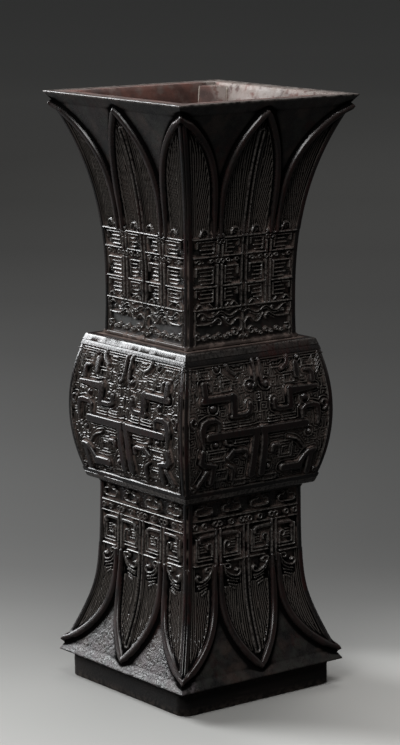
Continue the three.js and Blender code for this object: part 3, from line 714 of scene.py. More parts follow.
# %% Node tree that lays a flat carving on a stage's profile
def profile_tree(stage, skin, sizes):
    tree = bpy.data.node_groups.new(f"{stage}_profile", "GeometryNodeTree")
    tree.interface.new_socket("Carving", in_out="INPUT", socket_type="NodeSocketGeometry")
    for side in ("Outside", "Inside"):
        for size in sizes:
            tree.interface.new_socket(f"{side} {size}", in_out="INPUT",
                                      socket_type="NodeSocketFloat")
    tree.interface.new_socket("Quarter turns", in_out="INPUT", socket_type="NodeSocketFloat")
    tree.interface.new_socket("Finish", in_out="INPUT", socket_type="NodeSocketMaterial")
    tree.interface.new_socket("Panel", in_out="OUTPUT", socket_type="NodeSocketGeometry")
    given = tree.nodes.new("NodeGroupInput")
    start = Link(tree, given.outputs[0])
    outside = [Link(tree, given.outputs[f"Outside {size}"]) for size in sizes]
    inside = [Link(tree, given.outputs[f"Inside {size}"]) for size in sizes]
    place = start.node("GeometryNodeInputPosition")
    across, out, up = (
        place.node("ShaderNodeSeparateXYZ", {}, {0: place}, axis) for axis in range(3)
    )
    edge, back = (
        start.node("GeometryNodeInputNamedAttribute", {"data_type": "FLOAT"}, {"Name": name})
        for name in ("edge", "back")
    )
    slope = (skin(up + 0.1, *outside) - skin(up - 0.1, *outside)) / 0.2
    square = 1 / root(1 + slope * slope)
    face, wall = skin(up, *outside), skin(up, *inside)
    front = 1 - back
    reach = front * (face + out * square) + back * (wall + out)
    half = front * (face + edge * square) + back * (wall + edge)
    height = up - front * (out * slope * square)
    laid = place.node("ShaderNodeCombineXYZ", {}, {0: across * half, 1: 0 - reach, 2: height})
    bent = start.node("GeometryNodeSetPosition", {}, {"Geometry": start, "Position": laid})
    angle = Link(tree, given.outputs["Quarter turns"]) * (math.pi / 2)
    turn = angle.node("ShaderNodeCombineXYZ", {}, {2: angle})
    placed = bent.node("GeometryNodeTransform", {}, {"Geometry": bent, "Rotation": turn,
                                                      "Scale": (mm, mm, mm)})
    whole = placed.node("GeometryNodeRealizeInstances", {}, {0: placed})
    finish = Link(tree, given.outputs["Finish"])
    done = whole.node("GeometryNodeSetMaterial", {}, {"Geometry": whole, "Material": finish})
    result = tree.nodes.new("NodeGroupOutput")
    tree.links.new(done.socket, result.inputs[0])
    print(tree.name, "has", len(tree.nodes), "nodes")
    return tree


trees = {
    "neck": profile_tree("neck", neck_skin, ("waist", "flare", "foot")),
    "belly": profile_tree("belly", belly_skin, ("widest", "bulge")),
    "stem": profile_tree("stem", stem_skin, ("upright", "spread")),
}


# %% [markdown]
# Wear and dust. Handling wears what stands proud, and dust stays where a cloth can't reach. Both can
# be read off the carving itself: a point above the average of its surroundings wears, and a point
# below it holds dust. The dust number also says how dark each cut is painted as shade. A box blur,
# run three times, gives the average. The two numbers go into the mesh as attributes, next to the
# height of the relief and the polish of the bold parts, and the finishes read them there. An image
# could carry them too, but then the mesh would have to be unwrapped, and the seams would show.


# %% Read wear, and dust with painted shade, off the relief
def blurred(relief, cells):
    """The average over 2 * cells + 1 points each way, from running sums, three times over."""
    for axis in (0, 1) * 3:
        pad = [(cells + 1, cells) if axis == a else (0, 0) for a in (0, 1)]
        total = np.cumsum(np.pad(relief, pad, mode="edge"), axis)
        ahead = np.take(total, range(2 * cells + 1, total.shape[axis]), axis)
        behind = np.take(total, range(total.shape[axis] - 2 * cells - 1), axis)
        relief = (ahead - behind) / (2 * cells + 1)
    return relief


def wear_dust_and_shade(relief):
    fine, broad = relief - blurred(relief, 2), relief - blurred(relief, 6)
    wear = np.clip(3.0 * fine - 0.66, 0, 1)
    dust = np.clip(-1.3 * fine - 0.5 * broad, 0, 1)
    return wear, dust


worn, dust_and_shade_trial = wear_dust_and_shade(np.repeat([[0.0] * 12 + [1.5] * 12], 24, 0))
print("beside a step of 1.5 mm, wear reaches", round(float(worn.max()), 2), "and dust",
      round(float(dust_and_shade_trial.max()), 2))

# %% [markdown]
# A panel of the real vase is a plate with a carved front, a plain back and mitred edges. Giving
# the sheet a thickness with a modifier would repeat the carving on the back and double the faces.
# So the back is only a strip of a few broad faces, from edge to edge, and four long faces
# close the mesh all round. The mesh is still flat: x is the place across, from -1 to 1, y is the
# height of the relief, and z is the height on the vase.

# %% Turn a sheet into a closed flat panel
def flat_panel(name, sheet, relief, polish, back_rows, settled=0.0):
    """back_rows are the points of the inner side from the foot up: height and stand-off from the
    wall. settled is dust, with its painted shade, that lies on the face for another reason than its
    carving."""
    rows, columns = relief.shape
    u = np.linspace(-1, 1, columns)
    level = np.repeat(sheet.z[:, 0], columns)
    front = np.stack([np.tile(u, rows), relief.ravel(), level], 1)
    behind = np.array([(side, off, z) for z, off in back_rows for side in (-1, 1)])
    edge = np.where(u[None, :] < 0, relief[:, :1], relief[:, -1:]).ravel()
    wear, dust = wear_dust_and_shade(relief)
    dust = np.maximum(dust, settled)
    grid = np.arange(rows * columns).reshape(rows, columns)
    left = rows * columns + 2 * np.arange(len(back_rows))
    quads = [grid[:-1, :-1], grid[:-1, 1:], grid[1:, 1:], grid[1:, :-1]]
    faces = np.stack(quads, -1).reshape(-1, 4).tolist()
    faces += np.stack([left[:-1], left[1:], left[1:] + 1, left[:-1] + 1], 1).tolist()
    smooth = len(faces)
    faces.append(grid[0, ::-1].tolist() + [int(left[0]), int(left[0]) + 1])
    faces.append(grid[-1].tolist() + [int(left[-1]) + 1, int(left[-1])])
    faces.append(grid[:, 0].tolist() + left[::-1].tolist())
    faces.append(grid[::-1, -1].tolist() + (left + 1).tolist())
    mesh = bpy.data.meshes.new(name)
    mesh.from_pydata(np.vstack([front, behind]).tolist(), [], faces)
    mesh.polygons.foreach_set("use_smooth", [i < smooth for i in range(len(faces))])
    plain = np.zeros(len(behind))
    values = {
        "edge": np.concatenate([edge, behind[:, 1]]),
        "back": np.concatenate([np.zeros(rows * columns), plain + 1]),
        "wear": np.concatenate([wear.ravel(), plain]),
        "dust": np.concatenate([dust.ravel(), plain]),
        "lift": np.concatenate([relief.ravel(), plain]),
        "polish": np.concatenate([polish.ravel(), plain]),
    }
    for key, numbers in values.items():
        mesh.attributes.new(key, "FLOAT", "POINT").data.foreach_set("value", numbers)
    print(name, "flat panel:", len(faces), "faces")
    return mesh


def mirrored(half):
    """The whole face from its right half."""
    return np.concatenate([half[:, :0:-1], half], 1)


# %% [markdown]
# A panel is set up by giving its flat sheet a modifier with the stage's tree, filling in the tree's
# inputs, and keeping the result as a plain mesh. The flat one could stay, bent by a live modifier,
# but a plain mesh is what the frame's own calls and the closing export expect.

# %% Set one panel up from its flat carving
def stand_panel(node, flat, tree, outside, inside, turns, finish):
    holder = bpy.data.objects.new(f"{node}_flat", flat)
    bpy.context.scene.collection.objects.link(holder)
    bend = holder.modifiers.new("bend", "NODES")
    bend.node_group = tree
    given = [s for s in tree.interface.items_tree if s.in_out == "INPUT"]
    for socket, value in zip(given[1:], (*outside, *inside, float(turns), finish)):
        bend[socket.identifier] = value
    shown = holder.evaluated_get(bpy.context.evaluated_depsgraph_get())
    mesh = bpy.data.meshes.new_from_object(shown)
    mesh.attributes.remove(mesh.attributes["edge"])
    bpy.data.objects.remove(holder)
    panel = bpy.data.objects.new(f"carved_{node}", mesh)
    bpy.context.scene.collection.objects.link(panel)
    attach(panel, "root")
    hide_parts(node)
    return panel


# %% [markdown]
# Finishes. Polished horn is a glossy near-black brown with dark-red places. Age has dulled the plain
# ground, worn the high ridges and left pinkish dust in the deepest cuts, which are also painted dark
# as shade. Each of these is a mask, made from the carving's attributes and some noise on Object
# coordinates, and each mask lays one colour over the last. A flat colour with gloss would look like
# moulded plastic.

# %% Helpers for the finishes
def new_finish(name):
    """A new material, a Link to its Object coordinates, and its Principled node."""
    material = bpy.data.materials.new(name)
    material.use_nodes = True
    tree = material.node_tree
    place = Link(tree, tree.nodes.new("ShaderNodeTexCoord").outputs["Object"])
    return material, place, tree.nodes["Principled BSDF"]


def noise(place, size, detail=3.0, stretch=(1, 1, 1), shift=0.0):
    """Noise from 0 to 1, its features about `size` mm large; `shift` picks another part of it."""
    moved = place.node("ShaderNodeMapping", {}, {"Vector": place, "Location": (shift, shift, shift),
                                                 "Scale": stretch})
    return place.node("ShaderNodeTexNoise", {}, {"Vector": moved, "Scale": 1 / (size * mm),
                                                 "Detail": detail, "Roughness": 0.55})


def lay(mask, under, over):
    """The colour `over` where the mask is 1 and `under` where it is 0 (sockets 7 and 6)."""
    under, over = ((*c, 1.0) if isinstance(c, tuple) else c for c in (under, over))
    return mask.node("ShaderNodeMix", {"data_type": "RGBA"}, {0: mask, 6: under, 7: over}, 2)


def carving(place, name):
    """What the carving wrote on the mesh under this name, such as its dust and painted shade."""
    return place.node("ShaderNodeAttribute", {"attribute_name": name}, {}, 2)


def axis(place, number):
    """One coordinate of the place, in metres: 0 is x, 1 is y and 2 is z, the height."""
    return place.node("ShaderNodeSeparateXYZ", {}, {0: place}, number)


def bumped(shader, height, depth):
    """A fine surface that is only shaded: where height is 1, it stands `depth` mm proud."""
    rough = height.node("ShaderNodeBump", {}, {"Strength": 1.0, "Distance": depth * mm,
                                               "Height": height})
    rough.tree.links.new(rough.socket, shader.inputs["Normal"])


def feed(shader, **values):
    """Join each Link to the shader's input of that name, written with _ for a space."""
    for name, value in values.items():
        value.tree.links.new(value.socket, shader.inputs[name.replace("_", " ")])


# %% [markdown]
# The inside of the vase is scraped and never polished: red-brown with grey patches, and a pale
# patch, dust with painted light on it, on the right-hand wall under the rim.

# %% Scraped inner horn
def inner_colour(place):
    cloud = noise(place, 9.0, 5.0, shift=3.1)
    colour = lay(cloud.rising(0.35, 0.65), (0.050, 0.023, 0.018), (0.135, 0.058, 0.044))
    grey = noise(place, 6.0, 6.0, shift=7.7).rising(0.50, 0.66)
    colour = lay(grey * 0.55, colour, (0.15, 0.115, 0.10))
    # Painted light with pale dust: a pale patch only on the right-hand wall under the rim.
    under_rim = axis(place, 2).rising(0.216, 0.231) * axis(place, 0).rising(0.0295, 0.032)
    pale_dust_and_light = noise(place, 4.0, 6.0, shift=1.3).rising(0.36, 0.52) * under_rim
    return lay(pale_dust_and_light * 0.65, colour, (0.28, 0.245, 0.22))


inner_horn, place, shader = new_finish("inner_horn")
scrape = noise(place, 1.2, 4.0, stretch=(1, 1, 0.15))
feed(shader, Base_Color=inner_colour(place), Roughness=0.55 + 0.25 * noise(place, 5.0))
bumped(shader, scrape + noise(place, 0.7, 3.0), 0.12)
shader.inputs["IOR"].default_value = 1.5
print(inner_horn.name, "has", len(inner_horn.node_tree.nodes), "nodes")


# %% [markdown]
# Carved horn. The colour is laid on in the order in which the vase got it: brown-black horn with
# cloudy dark-red places, a greenish bloom and brown stains on the plain sunk ground, grey flanks in
# the leaves' fine lines, dark-red ribs, pale rubbed ridges, a bruised grey foot at the left, and a
# worn edge round the rim. `lift` is the height of the relief in millimetres: -1 is the plain
# ground, and it comes up to 0 within 5 mm of the rim and the foot, which `edges` makes good.

# %% Colour of the carved horn
carved_horn, place, shader = new_finish("carved_horn")
wear, dust, lift, polish, back = (
    carving(place, name) for name in ("wear", "dust", "lift", "polish", "back")
)
height = axis(place, 2)
cloud, streak = noise(place, 16.0, 4.0), noise(place, 1.6, 4.0, stretch=(1, 1, 0.12))
fine = noise(place, 1.1, 5.0, shift=5.0)
colour = lay(cloud.rising(0.38, 0.68), (0.0060, 0.0056, 0.0055), (0.0150, 0.0110, 0.0100))
red = noise(place, 22.0, 3.0, shift=2.0).rising(0.50, 0.66) * streak.rising(0.3, 0.7)
colour = lay(red * 0.7, colour, (0.034, 0.0075, 0.0060))
edges = height.rising(0.0165, 0.0145) + height.rising(0.2345, 0.2365)
sunk = lift.rising(-0.70, -0.95).greater(edges * (1 - polish))
bloom = sunk * noise(place, 6.0, 7.0, shift=4.0).rising(0.48, 0.57)
colour = lay(bloom * 0.55, colour, (0.022, 0.023, 0.019))
brown = sunk * noise(place, 10.0, 6.0, shift=5.5).rising(0.49, 0.66)
colour = lay(brown * 0.7, colour, (0.040, 0.027, 0.022))
lines = lift.rising(-0.85, -0.55) * lift.rising(-0.15, -0.35) * (1 - edges) * (1 - polish)
colour = lay(lines * 0.8, colour, (0.080, 0.069, 0.060))
ribs = polish * streak.rising(0.25, 0.75)
colour = lay(ribs * 0.6, colour, (0.024, 0.0090, 0.0075))
rubbed = wear * fine.rising(0.30, 0.62) * (1 - 0.85 * polish)
colour = lay(rubbed * 0.7, colour, (0.210, 0.190, 0.172))
mottle = noise(place, 3.5, 8.0, shift=9.0).rising(0.44, 0.62)
foot = sunk * height.rising(0.034, 0.014) * axis(place, 0).rising(-0.028, -0.034)
colour = lay(foot * mottle * 0.55, colour, (0.090, 0.072, 0.077))
rim = height.rising(0.2388, 0.2399) * noise(place, 2.5, 6.0, shift=8.0).rising(0.36, 0.60)
colour = lay(rim * 0.6, colour, (0.20, 0.175, 0.16))
colour = lay(back, colour, inner_colour(place))
print("layers of colour on", carved_horn.name, "use", len(carved_horn.node_tree.nodes), "nodes")

# %% [markdown]
# Gloss. Years of handling have left the horn smooth, with a finer polish in some clouds than in
# others. The plain ground is duller in mottles, most of all under the scrolls, and the bruised foot
# is pitted. A shallow bump gives the streaks and the fine scratches, less of both on the ribs.

# %% Gloss and fine surface of the carved horn
scrolls = height.rising(0.160, 0.156) * height.rising(0.1425, 0.1445)
rough = 0.17 + 0.10 * cloud + sunk * (0.04 + 0.20 * mottle + 0.16 * scrolls) + 0.06 * polish
rough = rough + 0.08 * foot
feed(shader, Base_Color=colour, Roughness=rough + 0.08 * rubbed + 0.35 * back)
pitted = noise(place, 1.5, 8.0, shift=12.0).rising(0.35, 0.65)
bumped(shader, (streak * 0.6 + fine) * (1 - 0.75 * polish) + foot * pitted * 4.0, 0.05)
shader.inputs["IOR"].default_value = 1.54

# %% [markdown]
# The cuts are painted dark as shade. The recesses show a second shader, quite matt and without
# gloss: near-black painted shade, and over it, in patches of the frets and the mask and along the
# ledge, pinkish dust. A Mix Shader takes the horn where the cut is shallow and the painted shade and
# dust where the cut is deep.

# %% Painted shade and dust in the cuts
cut_shade_and_dust_shader = place.tree.nodes.new("ShaderNodeBsdfPrincipled")
cut_shade_and_dust_shader.inputs["Specular IOR Level"].default_value = 0.0
cut_shade_and_dust_shader.inputs["Roughness"].default_value = 0.9
bands = height.rising(0.050, 0.057) * height.rising(0.194, 0.187)
ledge = height.rising(0.1470, 0.1445) * height.rising(0.1415, 0.1428)
patchy = noise(place, 5.0, 6.0, shift=6.0).rising(0.41, 0.60)
settled = bands * dust.rising(0.12, 0.45) * patchy.greater(0.6 * ledge)
# Near-black painted shade for the cuts, with pinkish dust laid over it in patches.
feed(cut_shade_and_dust_shader, Base_Color=lay(settled, (0.0032, 0.0030, 0.0030), (0.150, 0.115, 0.101)))
# How much of each cut shows the painted shade: the deep ones, less under the scrolls, none on the
# inner side.
cover = (1 - 0.5 * scrolls).greater(settled)
depth = dust.rising(0.10, 0.40) * cover * (1 - back)
mixed = depth.node("ShaderNodeMixShader", {}, {0: depth, 1: Link(place.tree, shader.outputs[0]),
                                               2: Link(place.tree, cut_shade_and_dust_shader.outputs[0])})
place.tree.links.new(mixed.socket, place.tree.nodes["Material Output"].inputs["Surface"])
print(carved_horn.name, "has", len(carved_horn.node_tree.nodes), "nodes")


# %% [markdown]
# The plinth is open-grained hardwood under a dark matt wax. Its grain runs from side to side, and
# its edges are rubbed. Stretched noise gives both the grain and its pores.

# %% Waxed dark wood
dark_wood, place, shader = new_finish("dark_wood")
pores = noise(place, 0.9, 5.0, stretch=(0.08, 1, 1))
board = noise(place, 12.0, 4.0, stretch=(0.3, 1, 1))
colour = lay(board.rising(0.35, 0.7), (0.0050, 0.0042, 0.0038), (0.012, 0.0090, 0.0075))
colour = lay(pores.rising(0.55, 0.75) * 0.5, colour, (0.030, 0.024, 0.021))
colour = lay(carving(place, "wear") * noise(place, 2.0, 5.0).rising(0.40, 0.62), colour,
             (0.085, 0.066, 0.055))
feed(shader, Base_Color=colour, Roughness=0.6 + 0.25 * pores)
bumped(shader, pores + 0.5 * board, 0.15)
shader.inputs["IOR"].default_value = 1.35
print(dark_wood.name, "has", len(dark_wood.node_tree.nodes), "nodes")


# %% [markdown]
# The glue that holds the corner strips has dried pale and crumbly. It only needs two tones and a
# rough surface.

# %% Old glue
old_glue, place, shader = new_finish("old_glue")
feed(shader, Base_Color=lay(noise(place, 1.5, 5.0).rising(0.3, 0.7), (0.20, 0.15, 0.12),
                            (0.46, 0.41, 0.36)), Roughness=0.6 + 0.2 * noise(place, 2.0))
bumped(shader, noise(place, 0.6, 4.0), 0.15)
print(old_glue.name, "has", len(old_glue.node_tree.nodes), "nodes")


# %% [markdown]
# The neck panels. A tongue at the foot of each goes down behind the shoulder strips, and the upper
# edge is a level lip 8.5 mm wide with a narrow worn chamfer along the outside. The plain ground
# lies 1 mm inside the side drawing's line and comes out to it at the rim. The four faces are alike,
# so one flat carving is enough: it is set up four times, a quarter turn apart.

# %% Neck panels
def sunk_and_bevelled(z, edge_z, ease, bevel):
    """Near the rim or the foot: how far the ground is sunk, and how far the edge is bevelled."""
    off = np.abs(z - edge_z)
    return np.clip(off / ease, 0, 1), np.clip((bevel - off) / bevel, 0, 1) ** 1.5


def measured(name, sheet):
    rows, columns = sheet.rise.shape
    highest = round(float(sheet.rise.max()), 2)
    print(name, "sheet:", rows, "by", columns, "points, up to", highest, "mm")


tongue_step = 2.0
neck_heights = np.concatenate([np.linspace(neck_foot_z, 187, 200),
                               np.linspace(187, 239.6, 130)[1:], [239.8, rim_z]])
neck_sheet = carve_neck(neck_heights, 124)
measured("neck", neck_sheet)
sunk, bevelled = sunk_and_bevelled(neck_sheet.z, rim_z, 4.8, 0.4)
neck_relief = mirrored(neck_sheet.rise - sunk - 0.3 * bevelled)
neck_back = [(neck_foot_z, tongue_step), (belly_top_z, tongue_step), (belly_top_z, 0.0)]
neck_back += [(z, 0.0) for z in (fret_foot_z, *np.linspace(164, rim_z, 40))]
dust_and_shade_above_ledge = 0.5 * np.clip((146.0 - neck_heights[:, None]) / 2.0, 0, 1)
neck_flat = flat_panel("neck", neck_sheet, neck_relief, mirrored(neck_sheet.polish), neck_back,
                       dust_and_shade_above_ledge)
for turns, side in enumerate(sides):
    stand_panel(f"neck_panel_{side}", neck_flat, trees["neck"], neck_outside, neck_inside, turns,
                carved_horn)

# %% [markdown]
# The belly panels. Neighbours carry mirror images, so there are two flat carvings: one for the
# front and back, and the other, its columns reversed, for the two sides. Turning one of them inside
# out would mirror it too, but its faces would then point inwards.

# %% Belly panels
belly_heights = np.linspace(belly_foot_z, belly_top_z, 235)
belly_sheet = carve_belly(belly_heights, 335)
measured("belly", belly_sheet)
belly_back = [(z, 0.0) for z in np.linspace(belly_foot_z, belly_top_z, 20)]
belly_flats = [
    flat_panel(name, belly_sheet, (belly_sheet.rise - 1.0)[:, ::way], belly_sheet.polish[:, ::way],
               belly_back)
    for name, way in (("belly", 1), ("belly_mirror", -1))
]
for turns, side in enumerate(sides):
    stand_panel(f"belly_panel_{side}", belly_flats[turns % 2], trees["belly"], belly_outside,
                belly_inside, turns, carved_horn)

# %% [markdown]
# The stem panels, each with a tongue at the head that goes up behind the base strips. The skirt
# ends in sharp corners, and its foot is flat all the way in to the plinth's tongue.

# %% Stem panels
stem_heights = np.concatenate([[skirt_foot_z, 10.7], np.linspace(11.0, 54, 114),
                               np.linspace(54, stem_top_z, 127)[1:]])
stem_sheet = carve_stem(stem_heights, 116)
measured("stem", stem_sheet)
sunk, bevelled = sunk_and_bevelled(stem_sheet.z, skirt_foot_z, 4.2, 0.5)
stem_relief = mirrored(stem_sheet.rise - sunk - 0.25 * bevelled)
stem_back = [(z, 0.0) for z in np.linspace(skirt_foot_z, belly_foot_z, 40)]
stem_back += [(belly_foot_z, tongue_step), (stem_top_z, tongue_step)]
stem_flat = flat_panel("stem", stem_sheet, stem_relief, mirrored(stem_sheet.polish), stem_back)
for turns, side in enumerate(sides):
    stand_panel(f"stem_panel_{side}", stem_flat, trees["stem"], stem_outside, stem_inside, turns,
                carved_horn)
for mesh in (neck_flat, *belly_flats, stem_flat):
    bpy.data.meshes.remove(mesh)
print("carved panels: 12")


# %% [markdown]
# Most of the other pieces are closed shapes made of rings or rows of points. A few small helpers
# serve them all: one joins rings into faces and closes both ends, one makes the mesh and its object,
# one writes wear, or dust with painted shade, on it for the finishes to read, and one gives a piece
# its finish, hangs it under the root and hides the imported node that it stands for.

# %% Helpers for the plain pieces
def ring_faces(levels, count):
    """Faces of a stack of `levels` rings of `count` points each, closed at its foot and head."""
    grid = np.arange(levels * count).reshape(levels, count)
    after = np.roll(grid, -1, 1)
    faces = np.stack([grid[:-1], after[:-1], after[1:], grid[1:]], -1).reshape(-1, 4).tolist()
    return faces + [grid[0, ::-1].tolist(), grid[-1].tolist()]


def new_piece(name, points, faces, crease):
    mesh = bpy.data.meshes.new(name)
    mesh.from_pydata(np.asarray(points).tolist(), [], faces)
    mesh.polygons.foreach_set("use_smooth", [True] * len(faces))
    mesh.set_sharp_from_angle(angle=math.radians(crease))
    piece = bpy.data.objects.new(name, mesh)
    bpy.context.scene.collection.objects.link(piece)
    return piece


def mark(piece, name, values):
    layer = piece.data.attributes.new(name, "FLOAT", "POINT")
    layer.data.foreach_set("value", np.asarray(values, float))


def stand_in(piece, slot, finish, *nodes):
    piece.data.materials.append(finish)
    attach(piece, "root")
    if nodes:
        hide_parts(*nodes)


# %% [markdown]
# Flat strips close the joints between the stages: one set forms the ledge round the foot of the
# neck, the other the border under the belly. They are plain mitred bars, so one function sweeps a
# section along each side. Their edges were rubbed round by hand and are never quite straight: each
# point of the section wanders a little on its way, from a fixed seed.

# %% Plain mitred strips
def mitred_bar(node, section, turns, columns=60):
    """section is a loop that goes up its outer side: out, height, wear, and dust with painted shade,
    of each point.
    """
    random = np.random.default_rng(11 + turns)
    u = np.linspace(-1, 1, columns)
    inset = np.clip((1 - np.abs(u)) * 12, 0, 1)
    c, s = round(math.cos(turns * math.pi / 2)), round(math.sin(turns * math.pi / 2))
    rows = []
    for out, z, wear, dust in section:
        walk = random.normal(0, 1, columns + 8)
        drift = 0.05 * inset * np.convolve(walk, np.ones(9) / 3, "valid")
        x, y = u * out, -(out + drift)
        rows.append(np.stack([c * x - s * y, s * x + c * y, z + 0 * u], 1) * mm)
    grid = np.arange(len(section) * columns).reshape(len(section), columns)
    after = np.roll(grid, -1, 0)
    quads = [grid[:, :-1], grid[:, 1:], after[:, 1:], after[:, :-1]]
    faces = np.stack(quads, -1).reshape(-1, 4).tolist()
    faces += [grid[:, 0].tolist(), grid[::-1, -1].tolist()]
    bar = new_piece(f"bar_{node}", np.vstack(rows), faces, 35)
    mark(bar, "wear", np.repeat([point[2] for point in section], columns))
    mark(bar, "dust", np.repeat([point[3] for point in section], columns))
    stand_in(bar, "carved_horn", carved_horn, node)


low, high = belly_top_z, neck_foot_z
ledge = [(25.2, low, 0, 0), (33.6, low, 0, 0.3), (33.7, 140.6, 0.2, 0), (33.0, 142.3, 0.1, 0),
         (32.8, 142.7, 0.4, 0), (32.4, 142.95, 0.3, 0), (31.6, high, 0, 0.1), (29.8, high, 0, 0.3),
         (28.4, high, 0, 0.9), (25.2, high, 0, 1)]
low, high = stem_top_z, belly_foot_z
border = [(27.2, low, 0, 0), (32.2, low, 0.2, 0), (32.6, 84.0, 1, 0), (32.9, 84.4, 0.7, 0),
          (33.5, 85.9, 0.4, 0), (33.4, high, 0, 0.4), (27.2, high, 0, 0)]
for turns, side in enumerate(sides):
    mitred_bar(f"shoulder_strip_{side}", ledge, turns)
    mitred_bar(f"base_strip_{side}", border, turns)
print("ledge and border: 8 bars")

# %% [markdown]
# Inside the neck, a three-sided strip backs each mitre. Its broad face shows under the rim, with
# lines of pale old glue along both edges. The strip is a loft of small sections that follows the
# inner wall, its sharp edges taken off. The glue could be painted on as a pale line, but it stands
# proud, so it is a thin uneven bead: a tube whose thickness wanders from a fixed seed.

# %% Corner strips and glue in the neck
glue_gap, strip_top_z = 0.3, 239.0


def corner_turn(points, turns):
    """Turn points by quarters about the vase's axis."""
    for _ in range(turns):
        points = np.stack([-points[:, 1], points[:, 0], points[:, 2]], 1)
    return points


def neck_corner_strip(corner, turns):
    """A stack of five-sided sections: a right angle on the walls and a broad face inwards."""
    levels = np.concatenate([[belly_top_z], np.linspace(fret_foot_z, 238.6, 40), [strip_top_z]])
    inner = neck_skin(levels, *neck_inside) - glue_gap
    leg = np.where(levels > 238.8, 7.5, 8.0)
    rings = []
    for a, size, z in zip(-inner, leg, levels):
        rings.append([(a, a, z), (a + size, a, z), (a + size - 0.1, a + 0.35, z),
                      (a + 0.35, a + size - 0.1, z), (a, a + size, z)])
    points = corner_turn(np.array(rings).reshape(-1, 3), turns) * mm
    strip = new_piece(f"strip_{corner}", points, ring_faces(len(levels), 5), 25)
    stand_in(strip, "inner_horn", inner_horn, f"neck_corner_strip_{corner}")


def glue_bead(turns, side, sections=90, around=8):
    """The points and faces of a tube up one edge of a corner strip, on either wall."""
    random = np.random.default_rng(40 + 2 * turns + side)
    top = strip_top_z - 0.1
    z = np.linspace(150, top, sections)
    a = -(neck_skin(z, *neck_inside) - glue_gap / 2)
    thick = 0.38 + 0.16 * np.convolve(random.normal(0, 1, sections + 6), np.ones(7) / 2.6, "valid")
    thick = np.clip(thick, 0.12, 0.8) * np.clip((top - z) / 0.6, 0.3, 1)
    angle = np.linspace(0, 2 * math.pi, around, endpoint=False)
    centre = a[:, None] + 8.1 + 0 * angle
    along = centre + thick[:, None] * np.cos(angle)
    off = a[:, None] + thick[:, None] * np.sin(angle)
    x, y = (along, off) if side == 0 else (off[:, ::-1], along[:, ::-1])
    points = np.stack([x, y, np.repeat(z[:, None], around, 1)], -1).reshape(-1, 3)
    return corner_turn(points, turns) * mm, ring_faces(sections, around)


for turns, corner in enumerate(corners):
    neck_corner_strip(corner, turns)
    first, first_faces = glue_bead(turns, 0)
    second, second_faces = glue_bead(turns, 1)
    moved = [[v + len(first) for v in face] for face in second_faces]
    bead = new_piece(f"glue_{corner}", np.vstack([first, second]), first_faces + moved, 60)
    stand_in(bead, "inner_horn", old_glue)
print("neck corner strips: 4, each with two lines of glue")

# %% [markdown]
# The plinth is a thin board with rounded corners and softened edges, and its raised tongue fills
# the foot of the skirt. A cube with a bevel would give the board, but not the tongue, the rubbed
# edges and the wear along them. So it is a stack of rounded squares, joined ring to ring. A slow
# drift of a few hundredths of a millimetre takes the machine-made look off its sides.

# %% Plinth board
def rounded_square(half, radius, steps=12):
    """Points round a square with rounded corners, each corner and side in even steps."""
    ring = []
    for corner in range(4):
        middle = math.pi / 4 + corner * math.pi / 2
        reach = (half - radius) * math.sqrt(2)
        cx, cy = reach * math.cos(middle), reach * math.sin(middle)
        for step in range(steps + 1):
            angle = corner * math.pi / 2 + step * math.pi / 2 / steps
            ring.append((cx + radius * math.cos(angle), cy + radius * math.sin(angle)))
        x, y = ring[-1]
        ahead = (corner + 1) * math.pi / 2
        length = 2 * (half - radius)
        for step in range(1, steps):
            ring.append((x - math.sin(ahead) * length * step / steps,
                         y + math.cos(ahead) * length * step / steps))
    return np.array(ring)


tongue_top_z = 13.5
tongue = float(stem_skin(tongue_top_z, *stem_inside)) - glue_gap
levels = [(37.7, 4.6, 0.0, 0.3), (38.15, 5.0, 0.25, 1), (38.3, 5.0, 0.7, 0.5), (38.3, 5.0, 3.5, 0),
          (38.3, 5.0, 7.0, 0), (38.3, 5.0, 9.8, 0.5), (38.15, 5.0, 10.3, 1),
          (37.7, 4.6, skirt_foot_z, 0.3), (tongue, 0.4, skirt_foot_z, 0),
          (tongue, 0.4, tongue_top_z, 0)]
rings = [rounded_square(half, radius) for half, radius, _, _ in levels]
count = len(rings[0])
wander = np.random.default_rng(5).normal(0, 1, (len(levels), count + 10))
points = []
for (half, _, z, _), ring, walk in zip(levels, rings, wander):
    drift = 0.05 * np.convolve(walk, np.ones(11) / 3.3, "valid") * (half > 37)
    points.append(np.column_stack([ring * (1 + drift / half)[:, None], np.full(count, z)]))
board = new_piece("plinth", np.vstack(points) * mm, ring_faces(len(levels), count), 35)
mark(board, "wear", np.repeat([wear for _, _, _, wear in levels], count))
stand_in(board, "dark_wood", dark_wood, "plinth_board")
print("plinth:", len(board.data.polygons), "faces")

# %% [markdown]
# The strips inside the belly and the stem and the vessel's floor are plain, and hardly show, so the
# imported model's own shapes stay. They only need the scraped finish in place of a flat colour.

# %% Finish the pieces that keep their own shape
own_shape = ("belly_corner", "stem_corner", "vessel")
kept = [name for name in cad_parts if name.startswith(own_shape)]
for name in kept:
    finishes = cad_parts[name].data.materials
    for number in range(len(finishes)):
        finishes[number] = inner_horn
print("kept as they are:", len(kept))


# %% [markdown]
# The studio. The vase stands on a wide sheet of paper that is pale in front and shades into dark
# grey behind, as in the photograph. The shading could come from a light that falls off, but that
# light would also fall on the vase. So this fall of light is painted into the paper's own colour, a
# ramp over the distance behind the vase, with a painted patch of light in front on the right that
# lifts the vase's shadow there. Only the camera sees this painted light. For every other ray the
# paper is a plain dark grey, so that the polished horn mirrors a dark room, as the flared faces do
# in the photograph.

